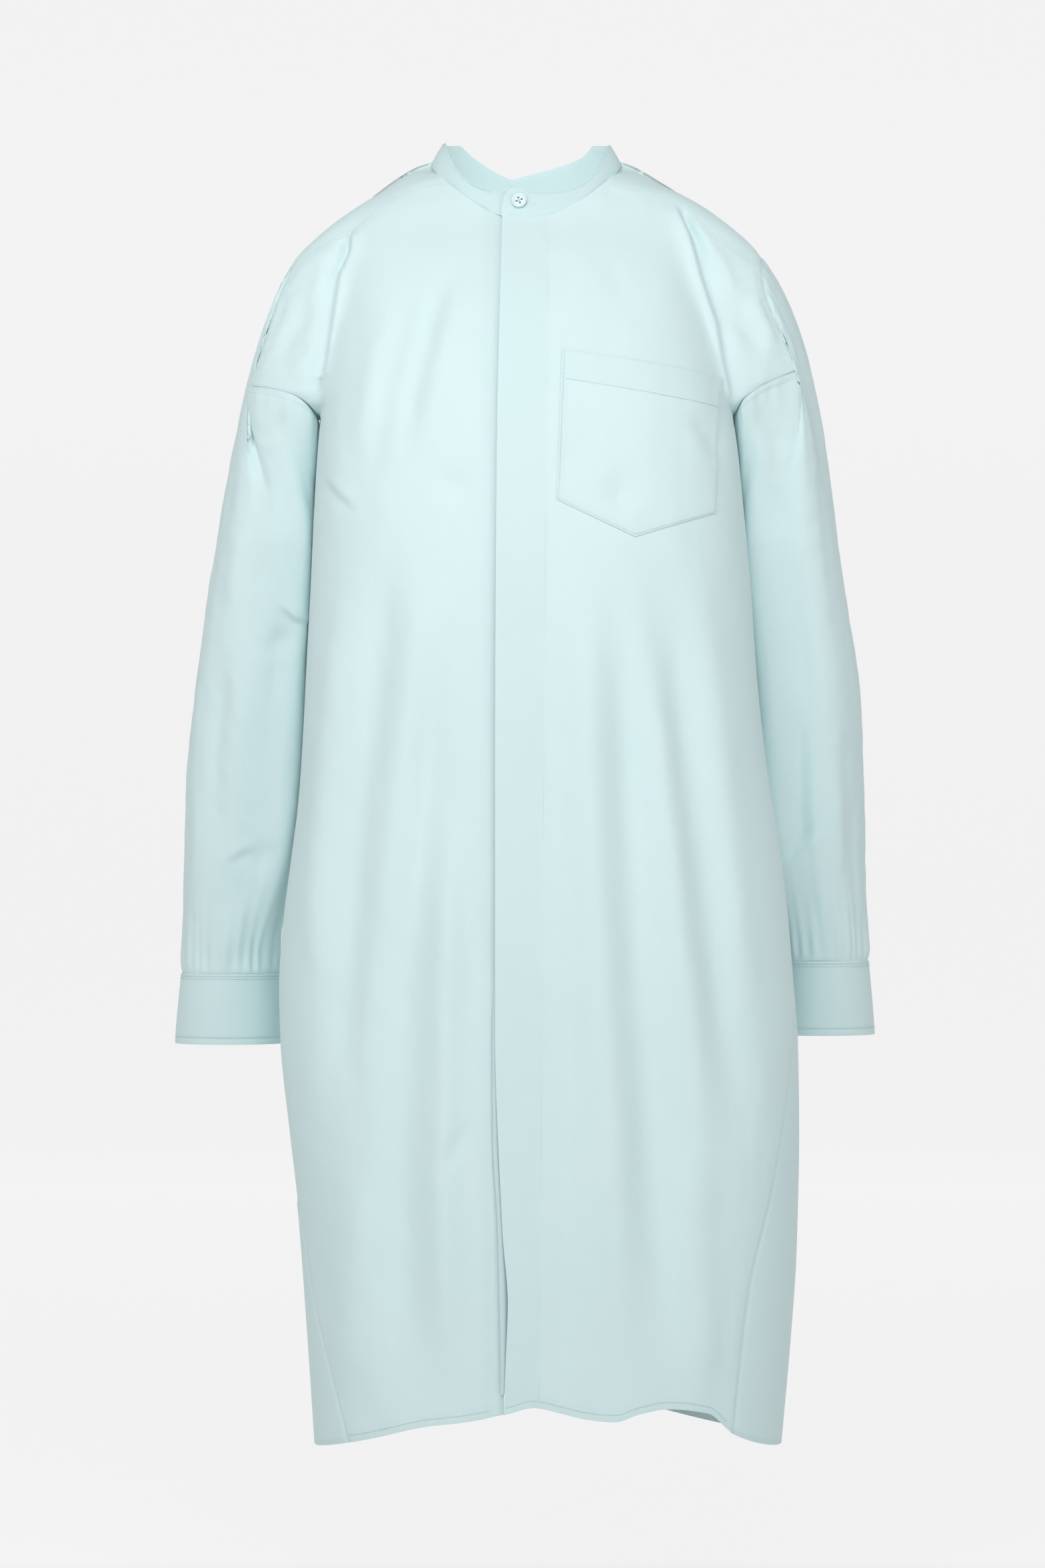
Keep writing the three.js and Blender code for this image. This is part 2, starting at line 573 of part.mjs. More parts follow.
// The fly: an inner strip with buttonholes, and the stand that carries the buttons.
const flyButtonPlaces = Array.from({ length: FLY_BUTTONS }, (_, i) =>
  frontFace(BUTTON_X, FIRST_FLY_BUTTON_Z - i * FLY_BUTTON_PITCH, BUTTON_LIFT - BUTTON_THICK),
);
const throughStrip = BUTTON_LIFT - BUTTON_THICK - FLY_STRIP_LIFT + CLOTH + SEAM_GAP / 2;
const flyStrip = flyButtonPlaces.reduce(
  (strip, { place, normal }) => strip.subtract(buttonhole(place, normal, false, -throughStrip, throughStrip)),
  solid(frontStrip(flyFromX, flyToX, 5, flyStripLift)),
);
add("fly_strip", flyStrip);
add("button_stand", frontStrip(standFromX, standFromX + STAND_WIDTH, 8, standLift));
flyButtonPlaces.forEach(({ place, normal }, i) => {
  addButton("fly_button_" + (i + 1), place, normal, BUTTON_LIFT - BUTTON_THICK - STAND_LIFT - SEAM_GAP);
});

// The neck band and its button, whose shank passes through the outer end to the one under it.
const bandShank = BUTTON_STAND_OFF + BAND_THICK + LAYER_GAP - SEAM_GAP;
const throughBand = [-BAND_THICK - LAYER_GAP / 2, BAND_THICK + 2 * CLOTH];
const bandSeat = bodyForm(SEAM_GAP);
const neckButtonAngle = Math.acos(BUTTON_X / NECK_HALF_X);
const neckNormal = point(BUTTON_X / NECK_HALF_X, -1, BAND_LEAN.front).normalize();
const neckFace = bandPoint(neckButtonAngle, (BAND_TOP.front + BAND_SEAM.front) / 2 + 1, 0);
const neckSlot = buttonhole(neckFace, neckNormal, true, ...throughBand);
for (const layer of BAND_LAYERS) {
  const band = solid(collarLayer(layer)).subtract(bandSeat).subtract(neckSlot);
  add("collar_band_" + layer.name, mainPiece(band));
}
const neckButtonPlace = neckFace.clone().addScaledVector(neckNormal, BUTTON_STAND_OFF);
addButton("neck_button", neckButtonPlace, neckNormal, bandShank);

// The breast pocket.
const pocketRight = POCKET_X + POCKET_WIDTH;
const pocketFoot = POCKET_TOP_Z - POCKET_SIDE;
const pocketRegion = alongY([
  [POCKET_X, POCKET_TOP_Z],
  [POCKET_X, pocketFoot],
  [POCKET_X + POCKET_WIDTH / 2, pocketFoot - POCKET_POINT],
  [pocketRight, pocketFoot],
  [pocketRight, POCKET_TOP_Z],
]);
add("breast_pocket", bodyForm(LAYER_GAP + CLOTH).subtract(bodyForm(LAYER_GAP)).intersect(pocketRegion));

// ---------------------------------------------------------------- sleeves, plackets and cuffs
const SLEEVE_FACE_BACK = -90; // the middle of the sleeve's back, where its slit is
const cuffStart = radians(SLEEVE_FACE_BACK + CUFF_OVERLAP_DEG / 2);

/** One layer of the left cuff, from its buttonhole end round the wrist and in under it. */
function cuffLayer({ out }) {
  const turn = 2 * Math.PI + radians(CUFF_OVERLAP_DEG);
  return cloth(CUFF_COLUMNS, 1, (u, v, side) => {
    const angle = cuffStart - u * turn;
    const reach = out - stepIn(u * turn) - (side ? 0 : CLOTH) + CUFF_FLARE * v;
    const s = { ...CUFF_MIDDLE, halfX: CUFF_HALF_X + reach, halfY: CUFF_HALF_Y + reach };
    return oval({ ...s, z: CUFF_TOP_Z - SEAM_GAP - v * CUFF_DEEP }, angle);
  });
}

/** The sleeve's back at a height, lifted off its face. */
function sleeveBack(sideways, z, lift) {
  const below = SLEEVE_SECTIONS.findIndex((section) => section.z <= z);
  const [upper, lower] = [SLEEVE_SECTIONS[below - 1], SLEEVE_SECTIONS[below]];
  const at = (name) => lerp(upper[name], lower[name], (upper.z - z) / (upper.z - lower.z));
  const deep = at("halfY") * Math.sqrt(1 - (sideways / at("halfX")) ** 2);
  return point(at("x") + sideways, at("y") + deep + lift, z);
}

const placket = solid(
  cloth(4, 8, (u, v, side) => {
    const z = CUFF_TOP_Z + SEAM_GAP + (1 - v) * SLEEVE_PLACKET_LONG;
    return sleeveBack((u - 0.5) * SLEEVE_PLACKET_WIDE, z, LAYER_GAP + (side ? CLOTH : 0));
  }),
);
const cuffButtonZ = CUFF_TOP_Z - CUFF_DEEP / 2;
const cuffButtonFace = point(CUFF_MIDDLE.x, CUFF_MIDDLE.y + CUFF_HALF_Y + CUFF_FLARE / 2, cuffButtonZ);
const backward = point(0, 1, 0);
const cuffSlot = buttonhole(cuffButtonFace, backward, true, ...throughBand);
const sleeveTube = sleeveForm(0).subtract(sleeveForm(-CLOTH, 10));

for (const [side, place, sign] of [["left", (shape) => shape, 1], ["right", mirrored, -1]]) {
  add(side + "_sleeve", mainPiece(place(sleeveTube).subtract(bandSeat)));
  add(side + "_sleeve_placket", place(placket));
  for (const layer of BAND_LAYERS) {
    add(side + "_cuff_" + layer.name, mainPiece(place(solid(cuffLayer(layer)).subtract(cuffSlot))));
  }
  const seat = point(sign * cuffButtonFace.x, cuffButtonFace.y + BUTTON_STAND_OFF, cuffButtonFace.z);
  addButton(side + "_cuff_button", seat, backward, bandShank);
}

export default gown;
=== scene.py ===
"""A patient gown of fine aqua shirting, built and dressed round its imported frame.

Lengths are in millimetres until a mesh is made, +Z is up, the front faces -Y and the wearer's left is +X.
Each length of cloth is its own mesh, cut along its seams, with its folds, hems, stitches and buttons.
"""

import logging
import math
from dataclasses import dataclass, replace
from enum import Enum
from typing import Optional, Sequence, Union

import bpy
import numpy as np
from mathutils import Matrix, Vector


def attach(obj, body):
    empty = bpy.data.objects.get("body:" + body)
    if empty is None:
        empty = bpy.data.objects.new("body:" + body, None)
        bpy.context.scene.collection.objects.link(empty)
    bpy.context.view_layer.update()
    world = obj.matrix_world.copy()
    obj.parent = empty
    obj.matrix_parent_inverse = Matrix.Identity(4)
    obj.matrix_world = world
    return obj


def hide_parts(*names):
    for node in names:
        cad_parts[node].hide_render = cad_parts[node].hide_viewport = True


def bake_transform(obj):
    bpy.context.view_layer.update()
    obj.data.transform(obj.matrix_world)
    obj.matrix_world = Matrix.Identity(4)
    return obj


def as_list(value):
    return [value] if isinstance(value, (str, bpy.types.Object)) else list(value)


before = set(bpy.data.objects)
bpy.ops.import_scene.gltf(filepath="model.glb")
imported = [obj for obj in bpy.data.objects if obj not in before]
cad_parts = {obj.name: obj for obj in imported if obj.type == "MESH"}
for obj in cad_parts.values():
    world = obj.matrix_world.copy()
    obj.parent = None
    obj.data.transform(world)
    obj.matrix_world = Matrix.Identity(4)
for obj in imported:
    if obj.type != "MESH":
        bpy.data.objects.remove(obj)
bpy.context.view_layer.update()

log = logging.getLogger("patient_gown")
MM = 0.001
Line = Sequence[tuple[float, float]]
Grid = np.ndarray
StitchLines = Sequence[tuple[Grid, Grid]]
Colour = tuple[float, float, float, float]
Scale = tuple[float, float, float]


# ---------------------------------------------------------------- numbers
def table(rows: Line, at: Union[float, Grid]) -> Grid:
    """A smooth curve through (key, value) rows, without overshoot between them.

    Args:
        rows: The keys and their values, in any order of keys.
        at: Where the curve is read.

    Returns:
        The values, held level beyond the first and last key.
    """
    pairs = np.array(sorted(rows), float)
    keys, values = pairs[:, 0], pairs[:, 1]
    steps = np.diff(keys)
    slopes = np.diff(values) / steps
    tangents = np.zeros_like(values)
    tangents[0], tangents[-1] = slopes[0], slopes[-1]
    before, after = slopes[:-1], slopes[1:]
    turning = before * after <= 0
    inner = 2 * before * after / np.where(turning, 1, before + after)
    tangents[1:-1] = np.where(turning, 0, inner)
    where = np.clip(np.asarray(at, float), keys[0], keys[-1])
    i = np.clip(np.searchsorted(keys, where) - 1, 0, len(steps) - 1)
    t = (where - keys[i]) / steps[i]
    rise = steps[i] * (tangents[i] * t * (1 - t) ** 2 - tangents[i + 1] * t * t * (1 - t))
    return values[i] + (values[i + 1] - values[i]) * t * t * (3 - 2 * t) + rise


def smooth(value: Union[float, Grid], low: float = 0.0, high: float = 1.0) -> Grid:
    """Goes smoothly from 0 at low to 1 at high."""
    t = np.clip((np.asarray(value, float) - low) / (high - low), 0, 1)
    return t * t * (3 - 2 * t)


def rounded(share: Grid, power: float) -> Grid:
    """The height of a rounded section at a share of its half width, 1 in its middle and 0 at its side."""
    return (1 - np.clip(np.abs(share), 0, 1) ** power) ** (1 / power)


def greater(a: Grid, b: Grid, softness: float) -> Grid:
    """The larger of two fields, with a rounded join as wide as softness."""
    h = np.clip(0.5 + 0.5 * (a - b) / softness, 0, 1)
    return b * (1 - h) + a * h + softness * h * (1 - h)


def drift(x: Grid, z: Grid, cell: tuple[float, float], seed: int) -> Grid:
    """Slow, seeded unevenness from -1 to 1, with lumps as large as a cell.

    Args:
        x: Places across.
        z: Places along.
        cell: The lumps' width and height.
        seed: Which unevenness it is.

    Returns:
        The unevenness at each place.
    """
    values = np.random.default_rng(seed).uniform(-1, 1, (64, 64))
    u, v = np.asarray(x, float) / cell[0] + 1000.5, np.asarray(z, float) / cell[1] + 1000.5
    i, j = np.floor(u).astype(int), np.floor(v).astype(int)
    s, t = smooth(u - i), smooth(v - j)
    corner = lambda di, dj: values[(i + di) % 64, (j + dj) % 64]
    low = corner(0, 0) * (1 - s) + corner(1, 0) * s
    high = corner(0, 1) * (1 - s) + corner(1, 1) * s
    return low * (1 - t) + high * t


def unit(vectors: Grid) -> Grid:
    """The same vectors, one long."""
    return vectors / np.maximum(np.linalg.norm(vectors, axis=-1, keepdims=True), 1e-9)


def resampled(points: Grid, count: int) -> Grid:
    """A polyline's points, spread evenly along it.

    Args:
        points: The polyline, one point a row.
        count: How many points are wanted.

    Returns:
        The new points, the ends among them.
    """
    points = np.asarray(points, float)
    gone = np.concatenate([[0], np.cumsum(np.linalg.norm(np.diff(points, axis=0), axis=1))])
    at = np.linspace(0, gone[-1], count)
    return np.stack([np.interp(at, gone, points[:, k]) for k in range(points.shape[1])], axis=1)


# ---------------------------------------------------------------- folds
class FoldKind(Enum):
    """How a fold lies in the cloth."""

    VALLEY = "valley"
    RIDGE = "ridge"
    STEP = "step"


@dataclass(frozen=True)
class Fold:
    """One fold of hanging cloth, along a spine on the face of the gown.

    Attributes:
        kind: Whether the cloth sinks, rises, or rises on one side and sinks on the other.
        spine: Its middle line, as (x, z).
        width: How far to each side it reaches.
        depth: How far it sinks or rises. A step rises on the left of its spine.
        fade: The share of its length over which each end dies away.
    """

    kind: FoldKind
    spine: Line
    width: float
    depth: float
    fade: float = 0.3

    def push(self, x: Grid, z: Grid) -> Grid:
        """How far the cloth is pushed outward by this fold at each place."""
        spine = np.array(self.spine, float)
        reach = 3 * self.width
        low, high = spine.min(0) - reach, spine.max(0) + reach
        near = (x > low[0]) & (x < high[0]) & (z > low[1]) & (z < high[1])
        pushed = np.zeros(np.shape(x))
        if not near.any():
            return pushed
        px, pz = x[near], z[near]
        best = np.full(px.shape, 1e9)
        along, side = np.zeros(px.shape), np.ones(px.shape)
        lengths = np.linalg.norm(np.diff(spine, axis=0), axis=1)
        gone = 0.0
        for (ax, az), (bx, bz), length in zip(spine[:-1], spine[1:], lengths):
            dx, dz = bx - ax, bz - az
            t = np.clip(((px - ax) * dx + (pz - az) * dz) / length**2, 0, 1)
            away = np.hypot(px - ax - t * dx, pz - az - t * dz)
            closer = away < best
            best = np.where(closer, away, best)
            along = np.where(closer, (gone + t * length) / lengths.sum(), along)
            side = np.where(closer, np.sign(dx * (pz - az) - dz * (px - ax)), side)
            gone += length
        share = best / self.width
        bell = np.exp(-(share**2))
        alive = smooth(along / self.fade) * smooth((1 - along) / self.fade)
        shape = {
            FoldKind.VALLEY: -bell,
            FoldKind.RIDGE: bell,
            FoldKind.STEP: side * np.tanh(3 * share) * bell,
        }[self.kind]
        pushed[near] = self.depth * alive * shape
        return pushed


def pushes(folds: Sequence[Fold], x: Grid, z: Grid) -> Grid:
    """All of a cloth's folds together, at each place."""
    return sum((fold.push(x, z) for fold in folds), np.zeros(np.shape(x)))


V, R, S = FoldKind.VALLEY, FoldKind.RIDGE, FoldKind.STEP


# ---------------------------------------------------------------- the form that the cloth hangs on
@dataclass(frozen=True)
class BodyForm:
    """The gown's body as level sections: how wide and how deep it is at each height."""

    left_edge: Line = (
        (40, 66), (37, 74), (34, 80), (27, 94), (16, 112), (-6, 118), (-36, 129), (-90, 144), (-126, 153),
        (-174, 162), (-222, 167), (-288, 173), (-348, 177), (-408, 183), (-450, 189), (-486, 195),
        (-534, 201), (-582, 205), (-636, 209), (-705, 210), (-797, 208), (-858, 204), (-948, 196),
    )
    right_edge: Line = (
        (40, 66), (37, 74), (34, 80), (27, 94), (14, 113), (4, 127), (-12, 137), (-78, 147), (-138, 157),
        (-174, 161), (-222, 164), (-288, 167), (-348, 170), (-408, 173), (-450, 176), (-498, 182),
        (-546, 188), (-594, 191), (-636, 190), (-705, 183), (-766, 176), (-858, 169), (-948, 163),
    )
    left_shoulder: Line = (
        (47, 60), (45.5, 66), (43.5, 72), (41, 77), (38.8, 82), (28.7, 99), (18.6, 119), (8.5, 136), (-1.5, 150),
        (-16.7, 168.5), (-36.8, 185.5), (-57, 197.5), (-77, 206.5), (-97, 213), (-118, 217.5), (-139, 220.5),
        (-157, 223),
    )
    right_shoulder: Line = (
        (47, 60), (45.5, 66), (43.5, 72), (41, 77), (38.8, 83), (28.7, 99.8), (18.6, 114.2), (8.5, 130), (-1.5, 144),
        (-16.7, 161.5), (-36.8, 181), (-57, 192), (-77, 199), (-97, 205), (-118, 210.5), (-139, 216), (-157, 220),
    )
    side_y: Line = ((44, 4), (40, 4), (37, 3), (34, 0), (27, -6), (14, -14), (-6, -20), (-37, -24), (-67, -25))
    front_y: Line = (
        (44, 2), (40, 4), (37, 12), (34, 25), (27, 36), (14, 46), (-6, 60), (-37, 84), (-67, 103), (-100, 119),
        (-126, 128), (-155, 134), (-203, 140), (-274, 146), (-353, 149), (-456, 152), (-559, 155),
        (-639, 156), (-766, 155), (-877, 151), (-948, 148),
    )
    back_y: Line = (
        (44, 20), (40, 24), (37, 36), (34, 44), (27, 50), (14, 59), (-6, 73), (-37, 89), (-67, 99), (-100, 106),
        (-126, 108), (-155, 110), (-274, 113), (-353, 115), (-456, 118), (-559, 121), (-639, 125), (-766, 127),
    )
    shoulder_front: Line = ((44, 2), (37, 12), (34, 25), (27, 36), (14, 46), (-6, 56), (-37, 68), (-67, 76), (-126, 84))
    shoulder_back: Line = ((44, 20), (37, 36), (34, 44), (27, 50), (14, 59), (-6, 70), (-37, 79), (-67, 83), (-126, 84))
    front_power: float = 2.7
    back_power: float = 2.1
    shoulder_power: float = 2.2
    armpit_z: float = -157.0
    armpit_from: float = -136.0

    def edge(self, x: Grid, z: Grid) -> Grid:
        """The half width of the body inside the sleeves, on the side where x is."""
        return np.where(x > 0, table(self.left_edge, z), table(self.right_edge, z))

    def shoulder(self, x: Grid, z: Grid) -> Grid:
        """The half width over the dropped shoulders, on the side where x is."""
        return np.where(x > 0, table(self.left_shoulder, z), table(self.right_shoulder, z))

    def ridge(self, x: Grid) -> Grid:
        """The height of the shoulder's ridge at x."""
        turned = lambda rows: tuple((half, z) for z, half in rows)
        left = table(turned(self.left_shoulder), np.abs(x))
        right = table(turned(self.right_shoulder), np.abs(x))
        return np.where(np.asarray(x) > 0, left, right) + 1.5 * smooth(60 - np.abs(x), 0, 60)

    def _face(self, x: Grid, z: Grid, deep: Line, shallow: Line, power: float) -> Grid:
        """How far before or behind the side line a face stands, body and shoulder joined."""
        x, z = np.broadcast_arrays(np.asarray(x, float), np.asarray(z, float))
        side = table(self.side_y, z)
        sign = 1 if deep is self.back_y else -1
        edge, shoulder = self.edge(x, z), self.shoulder(x, z)
        body = (table(deep, z) - sign * side) * rounded(x / edge, power)
        body = body - 2 * np.maximum(np.abs(x) - edge, 0)
        sunk = np.clip((self.armpit_from - z) / (self.armpit_from - self.armpit_z), 0, 1)
        over = (table(shallow, z) - sign * side) * rounded(x / shoulder, self.shoulder_power)
        joined = greater(body, over * np.sqrt(1 - sunk**2), 0.3 + 6.7 * smooth(over, 2, 24))
        return side + sign * np.where(z <= self.armpit_z, body, joined)

    def front(self, x: Grid, z: Grid) -> Grid:
        """The y of the front face."""
        return self._face(x, z, self.front_y, self.shoulder_front, self.front_power)

    def back(self, x: Grid, z: Grid) -> Grid:
        """The y of the back face."""
        return self._face(x, z, self.back_y, self.shoulder_back, self.back_power)

    def front_point(self, x: Grid, z: Grid, lift: Union[float, Grid] = 0.0) -> tuple[Grid, Grid]:
        """Points of the bare front lifted along its normal, and that normal.

        Args:
            x: Places across.
            z: Heights.
            lift: How far out from the form, one number or one for each place.

        Returns:
            The points and the normals, with their three numbers in the last axis.
        """
        x, z = np.broadcast_arrays(np.asarray(x, float), np.asarray(z, float))
        step = 1.0
        slope_x = (self.front(x + step, z) - self.front(x - step, z)) / (2 * step)
        slope_z = (self.front(x, z + step) - self.front(x, z - step)) / (2 * step)
        normal = unit(np.stack([slope_x, -np.ones_like(x), slope_z], axis=-1))
        place = np.stack([x, self.front(x, z), z], axis=-1)
        return place + normal * np.asarray(lift)[..., None], normal


FORM = BodyForm()


# ---------------------------------------------------------------- meshes of cloth
def set_mesh(name: str, verts: Grid, faces: Sequence[Sequence[int]]) -> bpy.types.Object:
    """Makes an object from points in millimetres and its faces.

    Args:
        name: The object's name.
        verts: The points.
        faces: Each face's points, by index.

    Returns:
        The new object, in the scene and shaded smooth.
    """
    mesh = bpy.data.meshes.new(name)
    mesh.from_pydata((np.asarray(verts) * MM).tolist(), [], [list(f) for f in faces])
    mesh.polygons.foreach_set("use_smooth", np.ones(len(mesh.polygons), bool))
    mesh.update()
    made = bpy.data.objects.new(name, mesh)
    bpy.context.scene.collection.objects.link(made)
    return made


def grid_normals(places: Grid, closed: bool, middle: tuple[float, float]) -> Grid:
    """Normals of a grid of points, facing away from an upright axis through middle."""
    if closed:
        along_row = np.roll(places, -1, 1) - np.roll(places, 1, 1)
    else:
        along_row = np.gradient(places, axis=1)
    normals = unit(np.cross(along_row, np.gradient(places, axis=0)))
    out = places[..., :2] - np.asarray(middle)
    return normals if np.sum(normals[..., :2] * out) >= 0 else -normals


@dataclass
class Cloth:
    """One cut length of cloth, as a grid of points with a face and a back.

    Attributes:
        name: The piece's name.
        places: The points of its face, rows by columns.
        thick: How thick it is.
        middle: The upright axis that its face looks away from.
        closed: Whether each row is a closed loop.
        gone: Which of its quads are cut out.
        doubled: From 0 to 1, how much each point is sewn double.
    """

    name: str
    places: Grid
    thick: float = 0.7
    middle: tuple[float, float] = (0.0, -15.0)
    closed: bool = False
    gone: Optional[Grid] = None
    doubled: Optional[Grid] = None

    @property
    def whole(self) -> Grid:
        """The points, with the first column again at the end of a closed loop."""
        return np.concatenate([self.places, self.places[:, :1]], 1) if self.closed else self.places

    def area(self) -> float:
        """The cloth's area in square metres, one layer."""
        p = self.whole
        across, down = p[1:, 1:] - p[:-1, :-1], p[1:, :-1] - p[:-1, 1:]
        return float(np.linalg.norm(np.cross(across, down), axis=-1).sum() / 2 * MM * MM)

    def build(self) -> bpy.types.Object:
        """Makes the mesh: both faces, the rim, a map of the weave and where it is sewn double."""
        rows, columns = self.places.shape[:2]
        normals = grid_normals(self.places, self.closed, self.middle).reshape(-1, 3)
        outer = self.places.reshape(-1, 3)
        inner = outer - normals * self.thick
        count = rows * columns
        r, c = np.meshgrid(np.arange(rows - 1), np.arange(columns - (0 if self.closed else 1)), indexing="ij")
        kept = np.ones(r.shape, bool) if self.gone is None else ~self.gone
        r, c = r[kept], c[kept]
        corners = [(r, c), (r + 1, c), (r + 1, c + 1), (r, c + 1)]
        quads = np.stack([a * columns + b % columns for a, b in corners], 1)
        first = outer[quads[:, 1]] - outer[quads[:, 0]]
        second = outer[quads[:, 3]] - outer[quads[:, 0]]
        if np.sum(np.cross(first, second) * normals[quads[:, 0]]) < 0:
            quads, corners = quads[:, ::-1], corners[::-1]
        edges = np.concatenate([quads[:, [k, (k + 1) % 4]] for k in range(4)])
        keys = edges[:, 0] * count + edges[:, 1]
        rim = edges[~np.isin(keys, edges[:, 1] * count + edges[:, 0])]
        rim_quads = np.stack([rim[:, 1], rim[:, 0], rim[:, 0] + count, rim[:, 1] + count], 1)
        faces = np.concatenate([quads, quads[:, ::-1] + count, rim_quads])
        made = set_mesh(self.name, np.concatenate([outer, inner]), faces.tolist())
        mesh = made.data
        self._map_weave(mesh, corners, len(rim_quads))
        pairs = np.empty(len(mesh.edges) * 2, np.int64)
        mesh.edges.foreach_get("vertices", pairs)
        numbered = lambda ends: np.sort(ends, 1) @ [2 * count, 1]
        borders = np.concatenate([numbered(rim), numbered(rim + count)])
        sharp = mesh.attributes.new("sharp_edge", "BOOLEAN", "EDGE")
        sharp.data.foreach_set("value", np.isin(numbered(pairs.reshape(-1, 2)), borders))
        if self.doubled is not None:
            sewn = mesh.attributes.new("doubled", "FLOAT", "POINT")
            sewn.data.foreach_set("value", np.tile(self.doubled.ravel(), 2).astype(np.float32))
        return made

    def _map_weave(self, mesh: bpy.types.Mesh, corners: list, rim_count: int) -> None:
        """Writes where each corner lies in the cloth's own threads, in metres."""
        p = self.whole
        across = np.linalg.norm(np.diff(p, axis=1), axis=2)
        down = np.linalg.norm(np.diff(p, axis=0), axis=2)
        u = np.concatenate([np.zeros((len(p), 1)), np.cumsum(across, 1)], 1)
        u = u - u[:, u.shape[1] // 2 : u.shape[1] // 2 + 1]
        v = np.concatenate([np.zeros((1, p.shape[1])), np.cumsum(down, 0)], 0)
        flat = [np.stack([u[a, b], v[a, b]], 1) for a, b in corners]
        face = np.stack(flat, 1).reshape(-1, 2) * MM
        back = np.stack(flat[::-1], 1).reshape(-1, 2) * MM
        rim = np.zeros((rim_count * 4, 2))
        layer = mesh.uv_layers.new(name="threads")
        layer.data.foreach_set("uv", np.concatenate([face, back, rim]).astype(np.float32).ravel())


@dataclass(frozen=True)
class Stitching:
    """A line of machine stitches, each a small raised thread.

    Attributes:
        pitch: From one stitch to the next.
        long: Each stitch's length.
        wide: Its width.
        high: How far it stands above the cloth.
    """

    pitch: float = 3.0
    long: float = 2.3
    wide: float = 0.55
    high: float = 0.3

    def build(self, name: str, lines: StitchLines) -> bpy.types.Object:
        """Makes one mesh of the stitches along some lines.

        Args:
            name: The piece's name.
            lines: For each line its points and the cloth's normals there.

        Returns:
            The object.
        """
        verts, faces = [], []
        for points, normals in lines:
            gone = np.concatenate([[0], np.cumsum(np.linalg.norm(np.diff(points, axis=0), axis=1))])
            at = np.arange(self.pitch / 2, gone[-1] - self.pitch / 2, self.pitch)
            read = lambda values, places: np.stack([np.interp(places, gone, values[:, k]) for k in range(3)], 1)
            here, up = read(points, at), unit(read(normals, at))
            ahead = unit(read(points, at + 0.5) - read(points, at - 0.5))
            across = unit(np.cross(ahead, up))
            for share, width, height in ((-0.5, 0.4, 0.0), (-0.25, 1, 1.0), (0.25, 1, 1.0), (0.5, 0.4, 0.0)):
                middle = here + ahead * self.long * share
                for out, lift in ((-0.5, 0.0), (-0.3, height), (0.3, height), (0.5, 0.0)):
                    verts.append(middle + across * self.wide * width * out + up * (self.high * lift - 0.1))
            count = len(at)
            base = sum(len(v) for v in verts[: len(verts) - 16])
            for k in range(count):
                ring = lambda i, j: base + (i * 4 + j) * count + k
                for i in range(3):
                    faces += [[ring(i, j), ring(i, j + 1), ring(i + 1, j + 1), ring(i + 1, j)] for j in range(3)]
        return set_mesh(name, np.concatenate(verts), faces)


# ---------------------------------------------------------------- finishes
class Socket:
    """An output of a shader node that takes part in sums written as Python expressions."""

    def __init__(self, paint: "Paint", output: bpy.types.NodeSocket) -> None:
        """Wraps one output of a node of paint."""
        self.paint, self.output = paint, output

    def _with(self, operation: str, first: object, second: object) -> "Socket":
        """One Math node on two values."""
        return self.paint.node("ShaderNodeMath", {"operation": operation}, {0: first, 1: second})

    def __add__(self, other: object) -> "Socket":
        """self + other."""
        return self._with("ADD", self, other)

    __radd__ = __add__

    def __sub__(self, other: object) -> "Socket":
        """self - other."""
        return self._with("SUBTRACT", self, other)

    def __rsub__(self, other: object) -> "Socket":
        """other - self."""
        return self._with("SUBTRACT", other, self)

    def __mul__(self, other: object) -> "Socket":
        """self * other."""
        return self._with("MULTIPLY", self, other)

    __rmul__ = __mul__

    def sine(self) -> "Socket":
        """The sine of self, in radians."""
        return self._with("SINE", self, 0.0)


